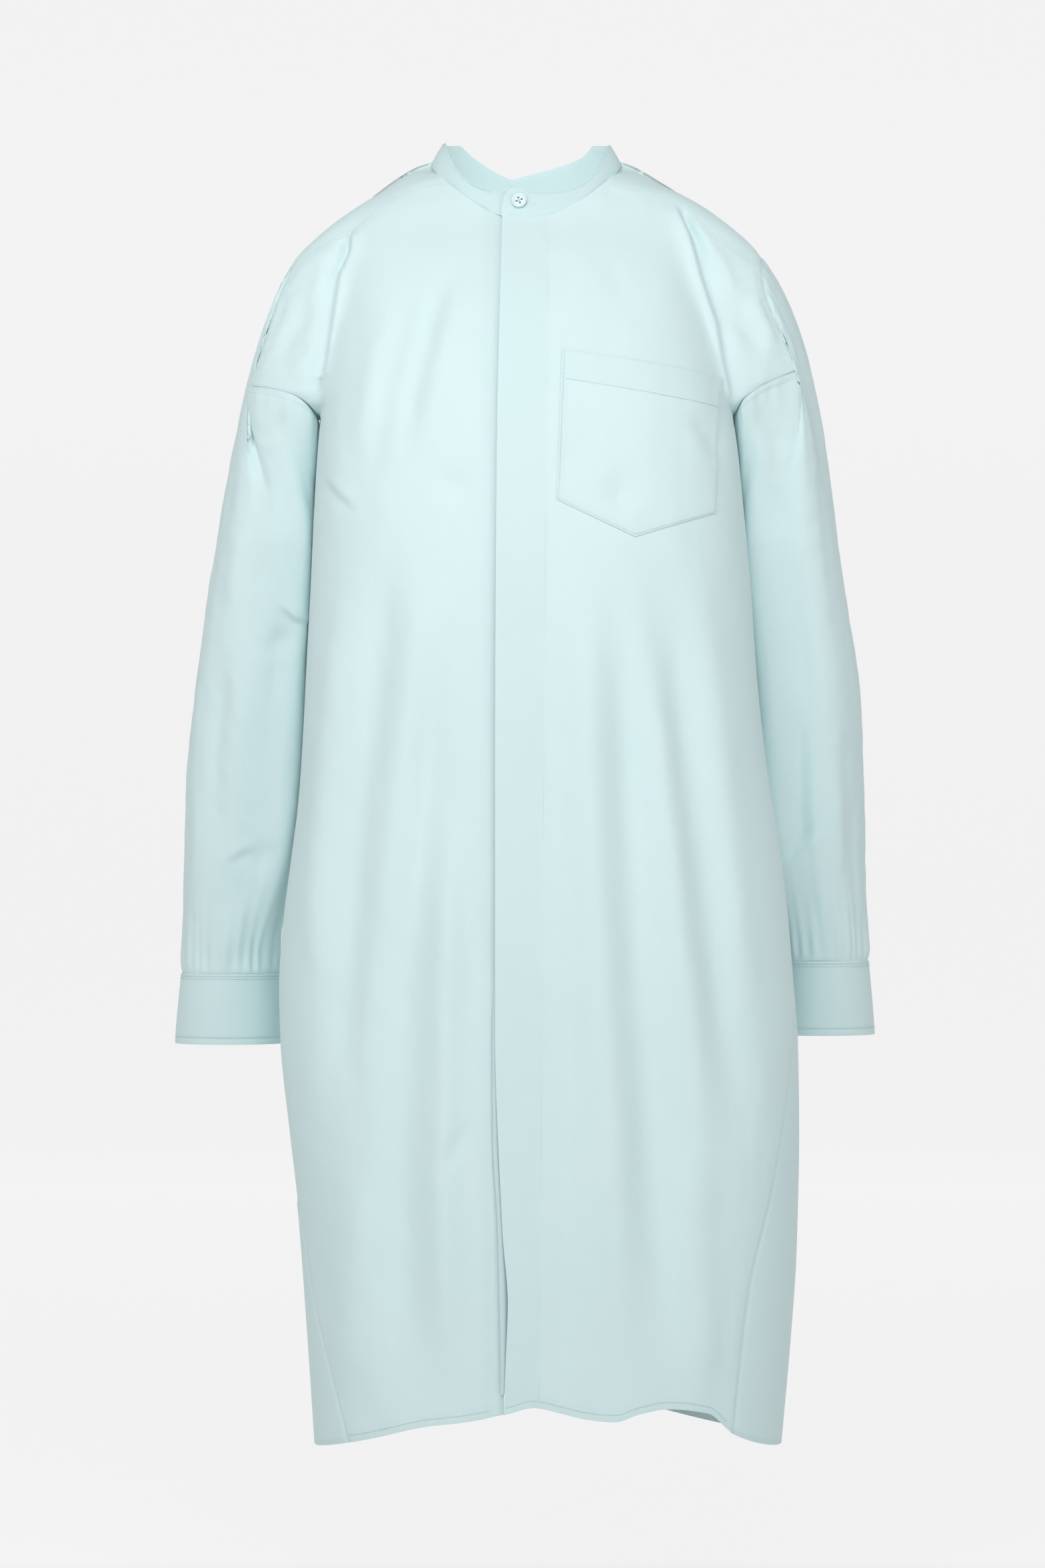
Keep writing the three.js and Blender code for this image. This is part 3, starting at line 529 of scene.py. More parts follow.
class Paint:
    """A material under construction, on one Principled shader."""

    def __init__(self, name: str, **constants: object) -> None:
        """Starts a material and sets the shader's own sockets, named with underscores for spaces."""
        self.material = bpy.data.materials.new(name)
        self.material.use_nodes = True
        self.tree = self.material.node_tree
        self.shader = next(n for n in self.tree.nodes if n.type == "BSDF_PRINCIPLED")
        for key, value in constants.items():
            self.shader.inputs[key.replace("_", " ")].default_value = value

    def node(self, kind: str, settings: dict, inputs: dict, output: Union[int, str] = 0) -> Socket:
        """Adds one node.

        Args:
            kind: The node's type.
            settings: Its properties, set first. "stops" gives a colour ramp's positions and colours.
            inputs: Values or links for its sockets, by name or number.
            output: Which output is wanted.

        Returns:
            That output.
        """
        made = self.tree.nodes.new(kind)
        for key, value in settings.items():
            if key == "stops":
                while len(made.color_ramp.elements) < len(value):
                    made.color_ramp.elements.new(0.5)
                for element, (position, colour) in zip(made.color_ramp.elements, value):
                    element.position, element.color = position, colour
            else:
                setattr(made, key, value)
        for key, value in inputs.items():
            self.feed(made.inputs[key], value)
        return Socket(self, made.outputs[output])

    def feed(self, socket: bpy.types.NodeSocket, value: object) -> None:
        """Links a Socket, or sets a value, on an input."""
        if isinstance(value, Socket):
            self.tree.links.new(value.output, socket)
        else:
            socket.default_value = value

    def scaled(self, place: Socket, scale: Scale) -> Socket:
        """Coordinates multiplied along each axis."""
        return self.node("ShaderNodeVectorMath", {"operation": "MULTIPLY"}, {0: place, 1: scale})

    def threads(self, scale: Scale) -> Socket:
        """The cloth's own coordinates, in metres along its threads, scaled."""
        return self.scaled(self.node("ShaderNodeUVMap", {"uv_map": "threads"}, {}), scale)

    def place(self, scale: Scale) -> Socket:
        """The object's own coordinates, in metres, scaled."""
        return self.scaled(self.node("ShaderNodeTexCoord", {}, {}, "Object"), scale)

    def axes(self, vector: Socket) -> list[Socket]:
        """A vector's three parts."""
        return [self.node("ShaderNodeSeparateXYZ", {}, {0: vector}, axis) for axis in range(3)]

    def mixed(self, share: object, first: object, second: object) -> Socket:
        """A Mix node on two colours."""
        return self.node("ShaderNodeMix", {"data_type": "RGBA"}, {0: share, 6: first, 7: second}, 2)

    def noise(self, at: Socket, detail: float = 2.0) -> Socket:
        """Noise from 0 to 1 at some coordinates."""
        return self.node("ShaderNodeTexNoise", {}, {"Vector": at, "Scale": 1.0, "Detail": detail})

    def bump(self, height: Socket, strength: float, distance: float) -> Socket:
        """A Bump node, for the shader's Normal."""
        return self.node("ShaderNodeBump", {}, {"Strength": strength, "Distance": distance, "Height": height})

    def wear(self, **links: Socket) -> bpy.types.Material:
        """Links what varies to the shader's sockets and gives the material.

        Args:
            **links: The sockets' names, with underscores for spaces, and what feeds them.

        Returns:
            The finished material.
        """
        for key, value in links.items():
            self.feed(self.shader.inputs[key.replace("_", " ")], value)
        return self.material


@dataclass(frozen=True)
class Shirting:
    """Fine plain-weave shirting, pressed, a little deeper in colour where it is sewn double."""

    name: str = "aqua_shirting"
    light: Colour = (0.688, 0.840, 0.850, 1)
    deep: Colour = (0.598, 0.778, 0.788, 1)
    doubled: Colour = (0.570, 0.742, 0.752, 1)
    thread_pitch: float = 0.00052
    weave: float = 0.12
    sheen: float = 0.12

    def material(self) -> bpy.types.Material:
        """Makes the material."""
        paint = Paint(self.name, IOR=1.42, Sheen_Weight=self.sheen, Sheen_Roughness=0.45, Specular_IOR_Level=0.25)
        turns = 2 * math.pi / self.thread_pitch
        across, along, _ = paint.axes(paint.threads((turns, turns, 1)))
        crossing = across.sine() * along.sine()
        slub = paint.noise(paint.threads((1500, 70, 1)), 1.0)
        pick = paint.noise(paint.threads((60, 1300, 1)), 1.0)
        lumps = paint.noise(paint.threads((9, 6, 1)), 3.0)
        tone = 0.25 + 0.55 * lumps - 0.28 * slub - 0.22 * pick + 0.05 * crossing
        plain = paint.mixed(tone, self.light, self.deep)
        sewn = paint.node("ShaderNodeAttribute", {"attribute_name": "doubled"}, {}, "Fac")
        colour = paint.mixed(sewn, plain, self.doubled)
        height = self.weave * crossing + 0.5 * slub + 0.35 * pick
        rough = 0.74 + 0.12 * lumps + 0.06 * slub
        return paint.wear(Base_Color=colour, Roughness=rough, Normal=paint.bump(height, 0.22, 0.0002))


@dataclass(frozen=True)
class Resin:
    """Dyed resin, polished on its rim and a little clouded, as shirt buttons are."""

    name: str = "button_resin"
    light: Colour = (0.78, 0.90, 0.915, 1)
    deep: Colour = (0.62, 0.79, 0.815, 1)

    def material(self) -> bpy.types.Material:
        """Makes the material."""
        paint = Paint(self.name, IOR=1.5, Coat_Roughness=0.12)
        cloud = paint.noise(paint.place((260, 260, 700)), 3.0)
        grain = paint.bump(paint.noise(paint.place((3000, 3000, 3000)), 1.0), 0.08, 0.0001)
        colour = paint.mixed(cloud, self.light, self.deep)
        return paint.wear(Base_Color=colour, Roughness=0.2 + 0.18 * cloud, Coat_Weight=0.5 - 0.2 * cloud, Normal=grain)


@dataclass(frozen=True)
class Thread:
    """Twisted polyester thread, its plies at a slant, with painted shade in the grooves between them."""

    name: str = "sewing_thread"
    light: Colour = (0.66, 0.82, 0.83, 1)
    # deep is painted shade for the grooves between the plies.
    deep: Colour = (0.50, 0.68, 0.70, 1)
    twist: float = 0.0006

    def material(self) -> bpy.types.Material:
        """Makes the material."""
        paint = Paint(self.name, Sheen_Weight=0.1, Specular_IOR_Level=0.35)
        turns = 2 * math.pi / self.twist
        across, along, up = paint.axes(paint.place((turns, turns, turns)))
        # One wave gives the plies' relief and roughness, and paints the grooves between them in the deeper colour as
        # painted shade.
        ply_relief_and_groove_shade = (across + along + up).sine() * 0.5 + 0.5
        colour = paint.mixed(ply_relief_and_groove_shade, self.deep, self.light)
        return paint.wear(Base_Color=colour, Roughness=0.7 + 0.15 * ply_relief_and_groove_shade, Normal=paint.bump(ply_relief_and_groove_shade, 0.4, 0.0001))


@dataclass(frozen=True)
class Wardrobe:
    """The gown's three finishes, made once."""

    shirting: bpy.types.Material
    resin: bpy.types.Material
    thread: bpy.types.Material


def dressed(piece: bpy.types.Object, material: bpy.types.Material, slot: str, *nodes: str) -> bpy.types.Object:
    """Gives a piece its material, and has it stand for CAD nodes.

    Args:
        piece: The object.
        material: Its finish.
        slot: Not used.
        *nodes: The CAD nodes that it replaces.

    Returns:
        The same object.
    """
    piece.data.materials.clear()
    piece.data.materials.append(material)
    if nodes:
        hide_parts(*nodes)
    log.info("%s: %d faces", piece.name, len(piece.data.polygons))
    return piece


def stitched(
    name: str, lines: StitchLines, finishes: Wardrobe, look: Stitching = Stitching(),
) -> bpy.types.Object:
    """Makes and dresses one piece of stitches."""
    return dressed(look.build(name, lines), finishes.thread, "thread")


def made_up(
    cloth: Cloth, finishes: Wardrobe, node: str, cut: tuple[float, float],
    rests_on: Sequence[str] = (),
) -> bpy.types.Object:
    """Args:
        cloth: The length of cloth.
        finishes: The gown's finishes.
        node: The CAD node that it replaces.
        cut: The flat width and length that it is cut from, in metres.
        rests_on: Not used.

    Returns:
        The object.
    """
    piece = dressed(cloth.build(), finishes.shirting, "shirting", node)
    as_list(rests_on)
    log.info("%s: %.4f square metres, cut from %s", cloth.name, cloth.area(), cut)
    return piece


# ---------------------------------------------------------------- where the seams and folds run
EYE_Z = -438.0
NEAR_FRONT = 0.981


def on_front(line: Line) -> Line:
    """Brings a line marked on the gown's flat outline onto its front, which stands nearer than its sides."""
    return tuple((x * NEAR_FRONT, EYE_Z + (z - EYE_Z) * NEAR_FRONT) for x, z in line)


@dataclass(frozen=True)
class SeamLines:
    """The seams that divide the body, on one side of the gown, x counted outward.

    Attributes:
        yoke: The yoke's front seam, as (x, z).
        armhole: The armhole's front half, as (z, x).
        side: Where the side seam has swung forward, as (z, x).
        back_armhole: The armhole's back half, as (z, x).
        neck_half_x: Half the neck opening's width.
        neck_half_y: Half its depth.
        yoke_from: Where the yoke's front seam meets the neck.
        back_z: The height of the yoke's back seam.
        shoulder_x: Where the armhole crosses the shoulder's ridge.
    """

    yoke: Line
    armhole: Line
    side: Line
    back_armhole: Line
    neck_half_x: float = 72.0
    neck_half_y: float = 59.0
    yoke_from: float = 61.5
    back_z: float = -85.0
    shoulder_x: float = 181.0

    def top(self, x: Grid) -> Grid:
        """The height of a front's upper edge: the neck seam, then the yoke seam."""
        x = np.abs(x)
        neck = -4 + 41 * (x / self.neck_half_x) ** 2
        return np.where(x < self.yoke_from, neck, table(self.yoke, x))


LEFT_SEAMS = SeamLines(
    yoke=(
        (61.5, 26), (81, 20), (97, 19.5), (114, 14), (124, 5), (134, -10), (147, -21), (163, -31), (172, -36),
        (181, -39),
    ),
    armhole=(
        (-39, 181), (-54, 182), (-75, 188), (-97, 198), (-112, 205), (-119.5, 207.5), (-124, 199), (-127, 192),
        (-131, 184), (-137, 174), (-146, 164), (-157, 158.9),
    ),
    side=((-560, 230), (-612, 208), (-666, 200), (-738, 188), (-822, 168), (-948, 154)),
    back_armhole=(
        (-33, 181), (-50, 186), (-85, 197), (-110, 204), (-122, 206), (-130, 200), (-140, 187), (-150, 170),
        (-157, 158.9),
    ),
)
RIGHT_SEAMS = SeamLines(
    yoke=((61.5, 26), (79, 23), (105, 11), (136, -13), (160, -25), (181, -41)),
    armhole=(
        (-41, 181), (-60, 190), (-87, 199), (-110, 207), (-126, 213.5), (-131, 213), (-134.5, 197), (-141, 177),
        (-149, 166), (-157, 159.4),
    ),
    side=((-700, 230), (-762, 175), (-828, 163), (-918, 140), (-948, 132)),
    back_armhole=(
        (-38, 181), (-55, 187), (-85, 195), (-110, 203), (-124, 207), (-131, 201), (-140, 187), (-150, 170),
        (-157, 159.4),
    ),
)
HEM = (
    (-200, -946), (-170, -945), (-150, -940), (-115, -931), (-76, -921), (-45, -917), (-15, -911), (5, -906),
    (25, -910), (46, -915), (66, -917), (86, -911), (106, -908), (136, -912), (158, -930), (186, -941), (215, -947),
)
HEM_LEVEL = -930.0
BACK_HEM = ((-200, -946), (-130, -938), (-70, -926), (-20, -918), (30, -919), (80, -928), (150, -941), (215, -947))

LEFT_FRONT_FOLDS = (
    Fold(R, on_front(((30, -240), (46, -330), (52, -500), (64, -700), (76, -925))), 17, 7.5, 0.25),
    Fold(V, on_front(((66, -250), (78, -420), (88, -600), (100, -760), (110, -925))), 17, 8.0, 0.3),
    Fold(V, on_front(((100, -240), (119, -378), (137, -498), (155, -648), (170, -740))), 15, 7.0, 0.3),
    Fold(R, on_front(((82, -262), (98, -380), (112, -500), (130, -660), (140, -800))), 13, 4.0, 0.3),
    Fold(R, on_front(((128, -250), (146, -378), (160, -520), (172, -660))), 12, 3.0, 0.3),
    Fold(V, on_front(((56, -200), (70, -214), (86, -232))), 14, 3.0, 0.5),
    Fold(R, on_front(((118, -700), (130, -800), (140, -925))), 16, 4.5, 0.3),
    Fold(V, on_front(((36, -560), (30, -700), (28, -925))), 10, 2.5, 0.3),
    Fold(S, ((115, 12), (119, 0), (126, -16), (134, -50), (146, -86), (151, -117), (159, -153)), 8, -4.2, 0.12),
    Fold(V, ((121, 8), (130, -16), (139, -44)), 4.5, 3.6, 0.3),
    Fold(V, ((138, -60), (158, -84), (176, -100)), 6, 1.6, 0.4),
    Fold(R, ((134, -10), (152, -44), (166, -80)), 6, 1.6, 0.4),
    Fold(V, ((150, -60), (172, -90), (178, -118)), 8, 2.4, 0.4),
    Fold(R, ((166, -60), (186, -92), (192, -116)), 7, 2.0, 0.4),
    Fold(V, on_front(((122, -150), (138, -166), (150, -190))), 8, 2.4, 0.4),
    Fold(V, on_front(((60, -14), (70, -50), (72, -96))), 12, 1.6, 0.4),
    Fold(V, on_front(((-10, -12), (4, -26), (10, -50))), 9, 1.4, 0.4),
)
RIGHT_FRONT_FOLDS = (
    Fold(V, on_front(((-56, -26), (-74, -80), (-88, -140), (-96, -190))), 9, 3.6, 0.3),
    Fold(R, on_front(((-40, -24), (-58, -84), (-72, -150), (-80, -200))), 10, 2.6, 0.3),
    Fold(V, on_front(((-84, -40), (-102, -100), (-114, -170), (-118, -220))), 10, 3.0, 0.3),
    Fold(R, on_front(((-100, -60), (-120, -120), (-130, -190))), 9, 2.2, 0.3),
    Fold(V, on_front(((-72, -196), (-58, -206), (-42, -222))), 12, 3.6, 0.5),
    Fold(S, on_front(((-160, -196), (-146, -212), (-128, -230))), 8, 2.2, 0.4),
    Fold(V, on_front(((-100, -236), (-114, -330), (-128, -450), (-142, -640), (-146, -720))), 15, 7.5, 0.25),
    Fold(R, on_front(((-74, -250), (-84, -350), (-96, -470), (-104, -600))), 12, 4.0, 0.3),
    Fold(V, on_front(((-66, -300), (-78, -420), (-92, -560), (-96, -740), (-92, -925))), 17, 8.0, 0.22),
    Fold(R, on_front(((-58, -440), (-62, -560), (-64, -740), (-62, -925))), 12, 6.0, 0.25),
    Fold(R, on_front(((-136, -260), (-152, -380), (-164, -520), (-164, -620))), 10, 3.5, 0.3),
    Fold(S, on_front(((-50, -512), (-38, -560), (-26, -622))), 6, 1.6, 0.4),
    Fold(V, on_front(((-70, -744), (-56, -720), (-40, -690))), 6, 1.8, 0.4),
    Fold(S, ((-135, -4), (-136, -28), (-143, -44), (-147, -73), (-158, -150)), 8, 4.2, 0.12),
    Fold(V, ((-140, -10), (-139, -30), (-147, -52)), 4.5, 3.2, 0.3),
    Fold(R, ((-152, -30), (-160, -60), (-170, -90)), 6, 1.4, 0.4),
    Fold(V, ((-156, -60), (-182, -96), (-194, -122)), 8, 3.0, 0.4),
    Fold(R, ((-150, -90), (-172, -118), (-180, -136)), 7, 2.2, 0.4),
    Fold(V, ((-182, -56), (-200, -92), (-206, -116)), 6, 2.0, 0.4),
    Fold(R, on_front(((-126, -720), (-132, -820), (-134, -925))), 16, 4.5, 0.3),
)
BACK_FOLDS = (
    Fold(V, ((-20, -90), (-26, -300), (-40, -620), (-52, -946)), 16, 6.0, 0.2),
    Fold(R, ((4, -90), (4, -400), (0, -700), (-8, -946)), 18, 5.0, 0.2),
    Fold(V, ((26, -90), (34, -320), (52, -640), (66, -946)), 16, 6.0, 0.2),
    Fold(V, ((-110, -150), (-100, -360), (-112, -640), (-128, -946)), 20, 6.0, 0.3),
    Fold(V, ((112, -150), (104, -360), (118, -640), (136, -946)), 20, 6.0, 0.3),
    Fold(R, ((-70, -200), (-76, -500), (-90, -946)), 16, 4.0, 0.3),
    Fold(R, ((76, -200), (82, -500), (98, -946)), 16, 4.0, 0.3),
    Fold(V, ((-168, -120), (-140, -190), (-120, -300)), 10, 4.0, 0.3),
    Fold(V, ((168, -120), (142, -190), (122, -300)), 10, 4.0, 0.3),
)


# ---------------------------------------------------------------- the body
@dataclass
class GownBody:
    """The fronts, back and yoke, with the hidden fly, its buttons, the pocket and every line of stitches.

    Attributes:
        finishes: The gown's finishes.
        fly_edge: Where the left front's edge runs, as (z, x).
        fly_seam: Where the fly is stitched down, as (z, x).
        strip_edge: Where the inner strip's edge runs, as (z, x).
        right_edge: How far the right front reaches past the middle.
        hem_deep: The narrow hem's depth.
        button_x: The line of the hidden buttons.
        first_button: The height of the first of them.
        button_pitch: From one to the next.
        columns: Points across a front.
        upper_rows: Rows above the armpit.
        lower_rows: Rows below it.
    """

    finishes: Wardrobe
    fly_edge: Line = (
        (0, -18.5), (-198, -22.5), (-438, -23.6), (-618, -23.6), (-774, -18), (-828, -14), (-870, -15.6),
        (-948, -18),
    )
    fly_seam: Line = ((0, 17), (-300, 14), (-600, 11.5), (-948, 9))
    strip_edge: Line = (
        (-44, -16.5), (-438, -18), (-560, -21), (-620, -25.4), (-700, -25.2), (-774, -21.5), (-870, -19.5),
        (-948, -19),
    )
    right_edge: float = 17.0
    hem_deep: float = 6.0
    button_x: float = -5.6
    first_button: float = -88.0
    button_pitch: float = 100.0
    columns: int = 104
    upper_rows: int = 120
    lower_rows: int = 270

    def push(self, left: bool, x: Grid, z: Grid) -> Grid:
        """How far a front's cloth stands out from the form."""
        seams, folds = (LEFT_SEAMS, LEFT_FRONT_FOLDS) if left else (RIGHT_SEAMS, RIGHT_FRONT_FOLDS)
        pushed = pushes(folds, x, z)
        pushed += 0.9 * drift(x, z, (46, 130), 3 if left else 4) + 0.55 * drift(x, z, (17, 70), 5 if left else 6)
        pushed += 0.3 * drift(x + 0.6 * z, z - 0.5 * x, (14, 34), 7) + 0.16 * drift(x, z, (6, 40), 10)
        away = self.outer_x(seams, z) - np.abs(x)
        pushed *= smooth(away, 0, 9) * smooth(seams.top(x) - z, -1, 10)
        pushed -= 0.8 * np.exp(-((away / 1.6) ** 2))
        pucker = np.sin(z * 0.55 + 3 * drift(x, z, (9, 30), 8)) * np.exp(-np.maximum(away, 0) / 9)
        pushed += 0.5 * pucker * smooth(away, 0, 3) * smooth(z, -170, -150)
        if left:
            edge, seam = table(self.fly_edge, z), table(self.fly_seam, z)
            pushed *= smooth(x - edge, -2, 34) * 0.75 + 0.25
            pushed += 1.0 - 0.5 * np.exp(-(((x - seam) / 1.0) ** 2)) - 0.35 * smooth(x, seam, seam + 3)
            pushed += 0.3 * np.sin(z * 0.16 + 2 * drift(x, z, (30, 50), 9)) * np.exp(-(((x - seam) / 5) ** 2))
        else:
            pushed *= 1 - 0.7 * smooth(x, -44, -26)
            pushed -= 3.0 * smooth(x, -36, -23)
        return pushed

    def outer_x(self, seams: SeamLines, z: Grid) -> Grid:
        """How far out a front reaches at a height: the armhole seam, then the side seam."""
        edge = table(FORM.left_edge if seams is LEFT_SEAMS else FORM.right_edge, z)
        return np.where(z > FORM.armpit_z, table(seams.armhole, z), np.minimum(edge, table(seams.side, z)))

    def face(self, left: bool, x: Grid, z: Grid, lift: Union[float, Grid] = 0.0) -> tuple[Grid, Grid]:
        """Points on a front's outer face, lifted, and the form's normals there."""
        return FORM.front_point(x, z, self.push(left, x, z) + lift)

    def front_grid(self, left: bool) -> tuple[Grid, Grid]:
        """The x and z of a front's grid, from its upper edge to its hem."""
        seams = LEFT_SEAMS if left else RIGHT_SEAMS
        sign = 1 if left else -1
        turn = np.linspace(math.pi / 2, 0, self.columns)
        share = np.cos(turn) ** (2 / FORM.front_power)
        inner = (lambda z: table(self.fly_edge, z)) if left else (lambda z: self.right_edge + 0 * z)
        between = lambda z, outer: inner(z) + (outer - inner(z)) * share
        top_x = between(0.0, seams.shoulder_x)
        top_z = seams.top(top_x)
        a = np.linspace(0, 1, self.upper_rows)[:, None]
        upper_z = top_z * (1 - a) + FORM.armpit_z * a
        b = np.linspace(0, 1, self.lower_rows + 1)[1:, None]
        reach = self.outer_x(seams, upper_z[:, -1:])
        reach[-1] = table(seams.armhole, FORM.armpit_z)
        upper_x = between(upper_z[:, :1], reach)
        lower_z = FORM.armpit_z + b * (HEM_LEVEL - FORM.armpit_z)
        lower_x = between(lower_z, self.outer_x(seams, lower_z))
        for _ in range(3):
            lower_z = FORM.armpit_z + b * (table(HEM, sign * lower_x) - FORM.armpit_z)
            lower_x = between(lower_z, self.outer_x(seams, lower_z))
        return sign * np.concatenate([upper_x, lower_x]), np.concatenate([upper_z, lower_z])

    def hemmed(self, above: Grid) -> Grid:
        """From 0 to 1, whether a place this far above its lower edge is in the narrow hem."""
        return 1 - smooth(above, self.hem_deep - 1, self.hem_deep)

    def build_front(self, left: bool) -> bpy.types.Object:
        """Makes one front."""
        x, z = self.front_grid(left)
        above = z - table(HEM, x)
        hem = self.hemmed(above)
        groove = 0.5 * np.exp(-(((above - self.hem_deep) / 1.2) ** 2))
        places, _ = self.face(left, x, z, 0.35 * hem - groove)
        doubled = hem
        if left:
            seam = table(self.fly_seam, z)
            doubled = np.maximum(hem, 0.5 - 0.5 * smooth(x, seam - 1, seam + 1))
        name = "front_left" if left else "front_right"
        cloth = Cloth(name + "_cloth", places, doubled=0.4 * doubled)
        return self.hang(cloth, name, (0.300 if left else 0.268, 0.985))

    def hang(
        self, cloth: Cloth, node: str, cut: tuple[float, float],
        rests_on: Sequence[str] = ("yoke_outer_cloth",),
    ) -> bpy.types.Object:
        """Makes up a length of cloth and hangs it on the torso."""
        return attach(made_up(cloth, self.finishes, node, cut, rests_on), "torso")

    def back_surface(self, x: Grid, z: Grid) -> Grid:
        """How far the back's cloth stands out from the form."""
        pushed = pushes(BACK_FOLDS, x, z) + 0.9 * drift(x, z, (50, 140), 11) + 0.3 * drift(x, z, (18, 60), 12)
        return pushed * smooth(LEFT_SEAMS.back_z - z, 0, 12)

    def build_back(self) -> bpy.types.Object:
        """Makes the back, from the yoke seam to the hem and round to the side seams."""
        share = np.linspace(-1, 1, 2 * self.columns + 1)
        upper = np.linspace(LEFT_SEAMS.back_z, FORM.armpit_z, 70)[:, None]
        lower = np.linspace(0, 1, self.lower_rows + 1)[1:, None]
        level = np.concatenate([upper, FORM.armpit_z + lower * (HEM_LEVEL - FORM.armpit_z)])
        z = level + 0 * share
        x, y = np.zeros_like(z), np.zeros_like(z)
        for _ in range(3):
            for seams, edge_line, sign in ((LEFT_SEAMS, FORM.left_edge, 1), (RIGHT_SEAMS, FORM.right_edge, -1)):
                half = share > 0 if sign > 0 else share <= 0
                at = z[:, half]
                edge = table(edge_line, at)
                reach = np.where(at >= FORM.armpit_z, table(seams.back_armhole, at), edge)
                seam = np.clip(np.minimum(table(seams.side, at), edge) / edge, 0, 1)
                wrap = np.where(at < FORM.armpit_z, math.pi - np.arcsin(seam ** (FORM.front_power / 2)), math.pi / 2)
                turn = np.abs(share[half]) * wrap
                behind = np.cos(turn) >= 0
                power = np.where(behind, FORM.back_power, FORM.front_power)
                side = table(FORM.side_y, at)
                x[:, half] = sign * reach * np.abs(np.sin(turn)) ** (2 / power)
                deep = np.where(behind, table(FORM.back_y, at) - side, -(side + table(FORM.front_y, at)))
                below = side + deep * np.abs(np.cos(turn)) ** (2 / power)
                y[:, half] = np.where(at >= FORM.armpit_z, FORM.back(x[:, half], at), below)
            hem = np.where(y > table(FORM.side_y, z), table(BACK_HEM, x), table(HEM, x))
            down = np.clip((FORM.armpit_z - level) / (FORM.armpit_z - HEM_LEVEL), 0, 1)
            z = np.where(level < FORM.armpit_z, FORM.armpit_z + down * (hem - FORM.armpit_z), level + 0 * share)
        flat = np.stack([x, y, z], -1)
        normals = grid_normals(flat, False, (0, -25))
        from_side = (1 - np.abs(share))[None, :] * 300
        behind = smooth(y - table(FORM.side_y, z), 10, 50)
        narrow = self.hemmed(z - table(BACK_HEM, x)) * behind
        lift = self.back_surface(x, z) * smooth(from_side, 2, 30) * behind + 0.35 * narrow
        lift = lift - 0.8 * np.exp(-((from_side / 2.0) ** 2)) - 0.6 * np.exp(-(((z - LEFT_SEAMS.back_z) / 1.5) ** 2))
        places = flat + normals * lift[..., None]
        cloth = Cloth("back_panel_cloth", places, middle=(0, -25), doubled=0.4 * self.hemmed(z - hem))
        return self.hang(cloth, "back_panel", (0.62, 0.868))

    def yoke_points(self, lift: float) -> Grid:
        """The yoke as rays from the neck seam to its outer seams, across the shoulders' ridges."""
        t0 = math.degrees(math.acos(LEFT_SEAMS.yoke_from / LEFT_SEAMS.neck_half_x))
        turn = np.radians(np.concatenate([
            np.linspace(t0, -15, 26)[:-1], np.linspace(-15, -165, 116), np.linspace(-165, -180 - t0, 26)[1:],
        ]))
        ring_x = LEFT_SEAMS.neck_half_x * np.cos(turn)
        ring_y = -LEFT_SEAMS.neck_half_y * np.sin(turn)
        front = np.sin(turn) > 0
        ring_z = 37 + (np.where(front, -4, 14) - 37) * np.sin(turn) ** 2 + 6 * np.abs(np.cos(turn)) ** 12
        ridge = FORM.ridge(ring_x)
        ring_w = np.sqrt(np.maximum(ridge - ring_z, 0)) * np.where(ring_y > table(FORM.side_y, ring_z), 1, -1)
        arcs = []
        for seams, sign in ((LEFT_SEAMS, 1), (RIGHT_SEAMS, -1)):
            z_end, x_end = seams.yoke[-1][1], seams.yoke[-1][0]
            top = float(FORM.ridge(sign * x_end))
            z = np.linspace(top - 0.5, seams.back_z, 60)
            x = table(seams.back_armhole, z)
            w = np.sqrt(np.maximum(FORM.ridge(sign * x) - z, 0))
            start = np.array([[x_end, -math.sqrt(max(top - z_end, 0.01))], [x_end, 0.0]])
            arcs.append(resampled(np.concatenate([start, np.stack([x, w], 1)]) * [sign, 1], 26))
        low_x = np.linspace(arcs[0][-1, 0], arcs[1][-1, 0], 116)
        low = np.stack([low_x, np.sqrt(FORM.ridge(low_x) - LEFT_SEAMS.back_z)], 1)
        outer = np.concatenate([arcs[0][:-1], low, arcs[1][::-1][1:]])
        r = np.linspace(0, 1, 64)[:, None]
        x = ring_x * (1 - r) + outer[:, 0] * r
        w = ring_w * (1 - r) + outer[:, 1] * r
        for seams, column, nearness in (
            (LEFT_SEAMS, 0, np.exp(-np.arange(len(turn)) / 6.0)),
            (RIGHT_SEAMS, -1, np.exp(-np.arange(len(turn))[::-1] / 6.0)),
        ):
            wanted = -np.sqrt(np.maximum(FORM.ridge(x[:, column]) - seams.top(x[:, column]), 0))
            w = w + (wanted - w[:, column])[:, None] * nearness
        z = FORM.ridge(x) - w**2
        y = np.where(w < 0, FORM.front(x, z), FORM.back(x, z))
        flat = np.stack([x, y, z], -1)
        normals = grid_normals(flat, False, (0, -15))
        uneven = 0.5 * drift(x, y, (30, 40), 21) * smooth(r, 0, 0.1) * smooth(1 - r, 0, 0.1)
        rim = -0.7 * np.exp(-(((1 - r) / 0.02) ** 2))
        edges = np.minimum(np.arange(len(turn)), np.arange(len(turn))[::-1])[None, :]
        rim = rim - 0.7 * np.exp(-((edges / 0.8) ** 2))
        return flat + normals * (lift + uneven + rim)[..., None]

    def build_yoke(self) -> None:
        """Makes the yoke and its lining."""
        band = ("collar_band_outer_cloth",)
        self.hang(Cloth("yoke_outer_cloth", self.yoke_points(0.0)), "yoke_outer", (0.43, 0.205), band)
        self.hang(Cloth("yoke_lining_cloth", self.yoke_points(-1.8)), "yoke_lining", (0.43, 0.205), band)

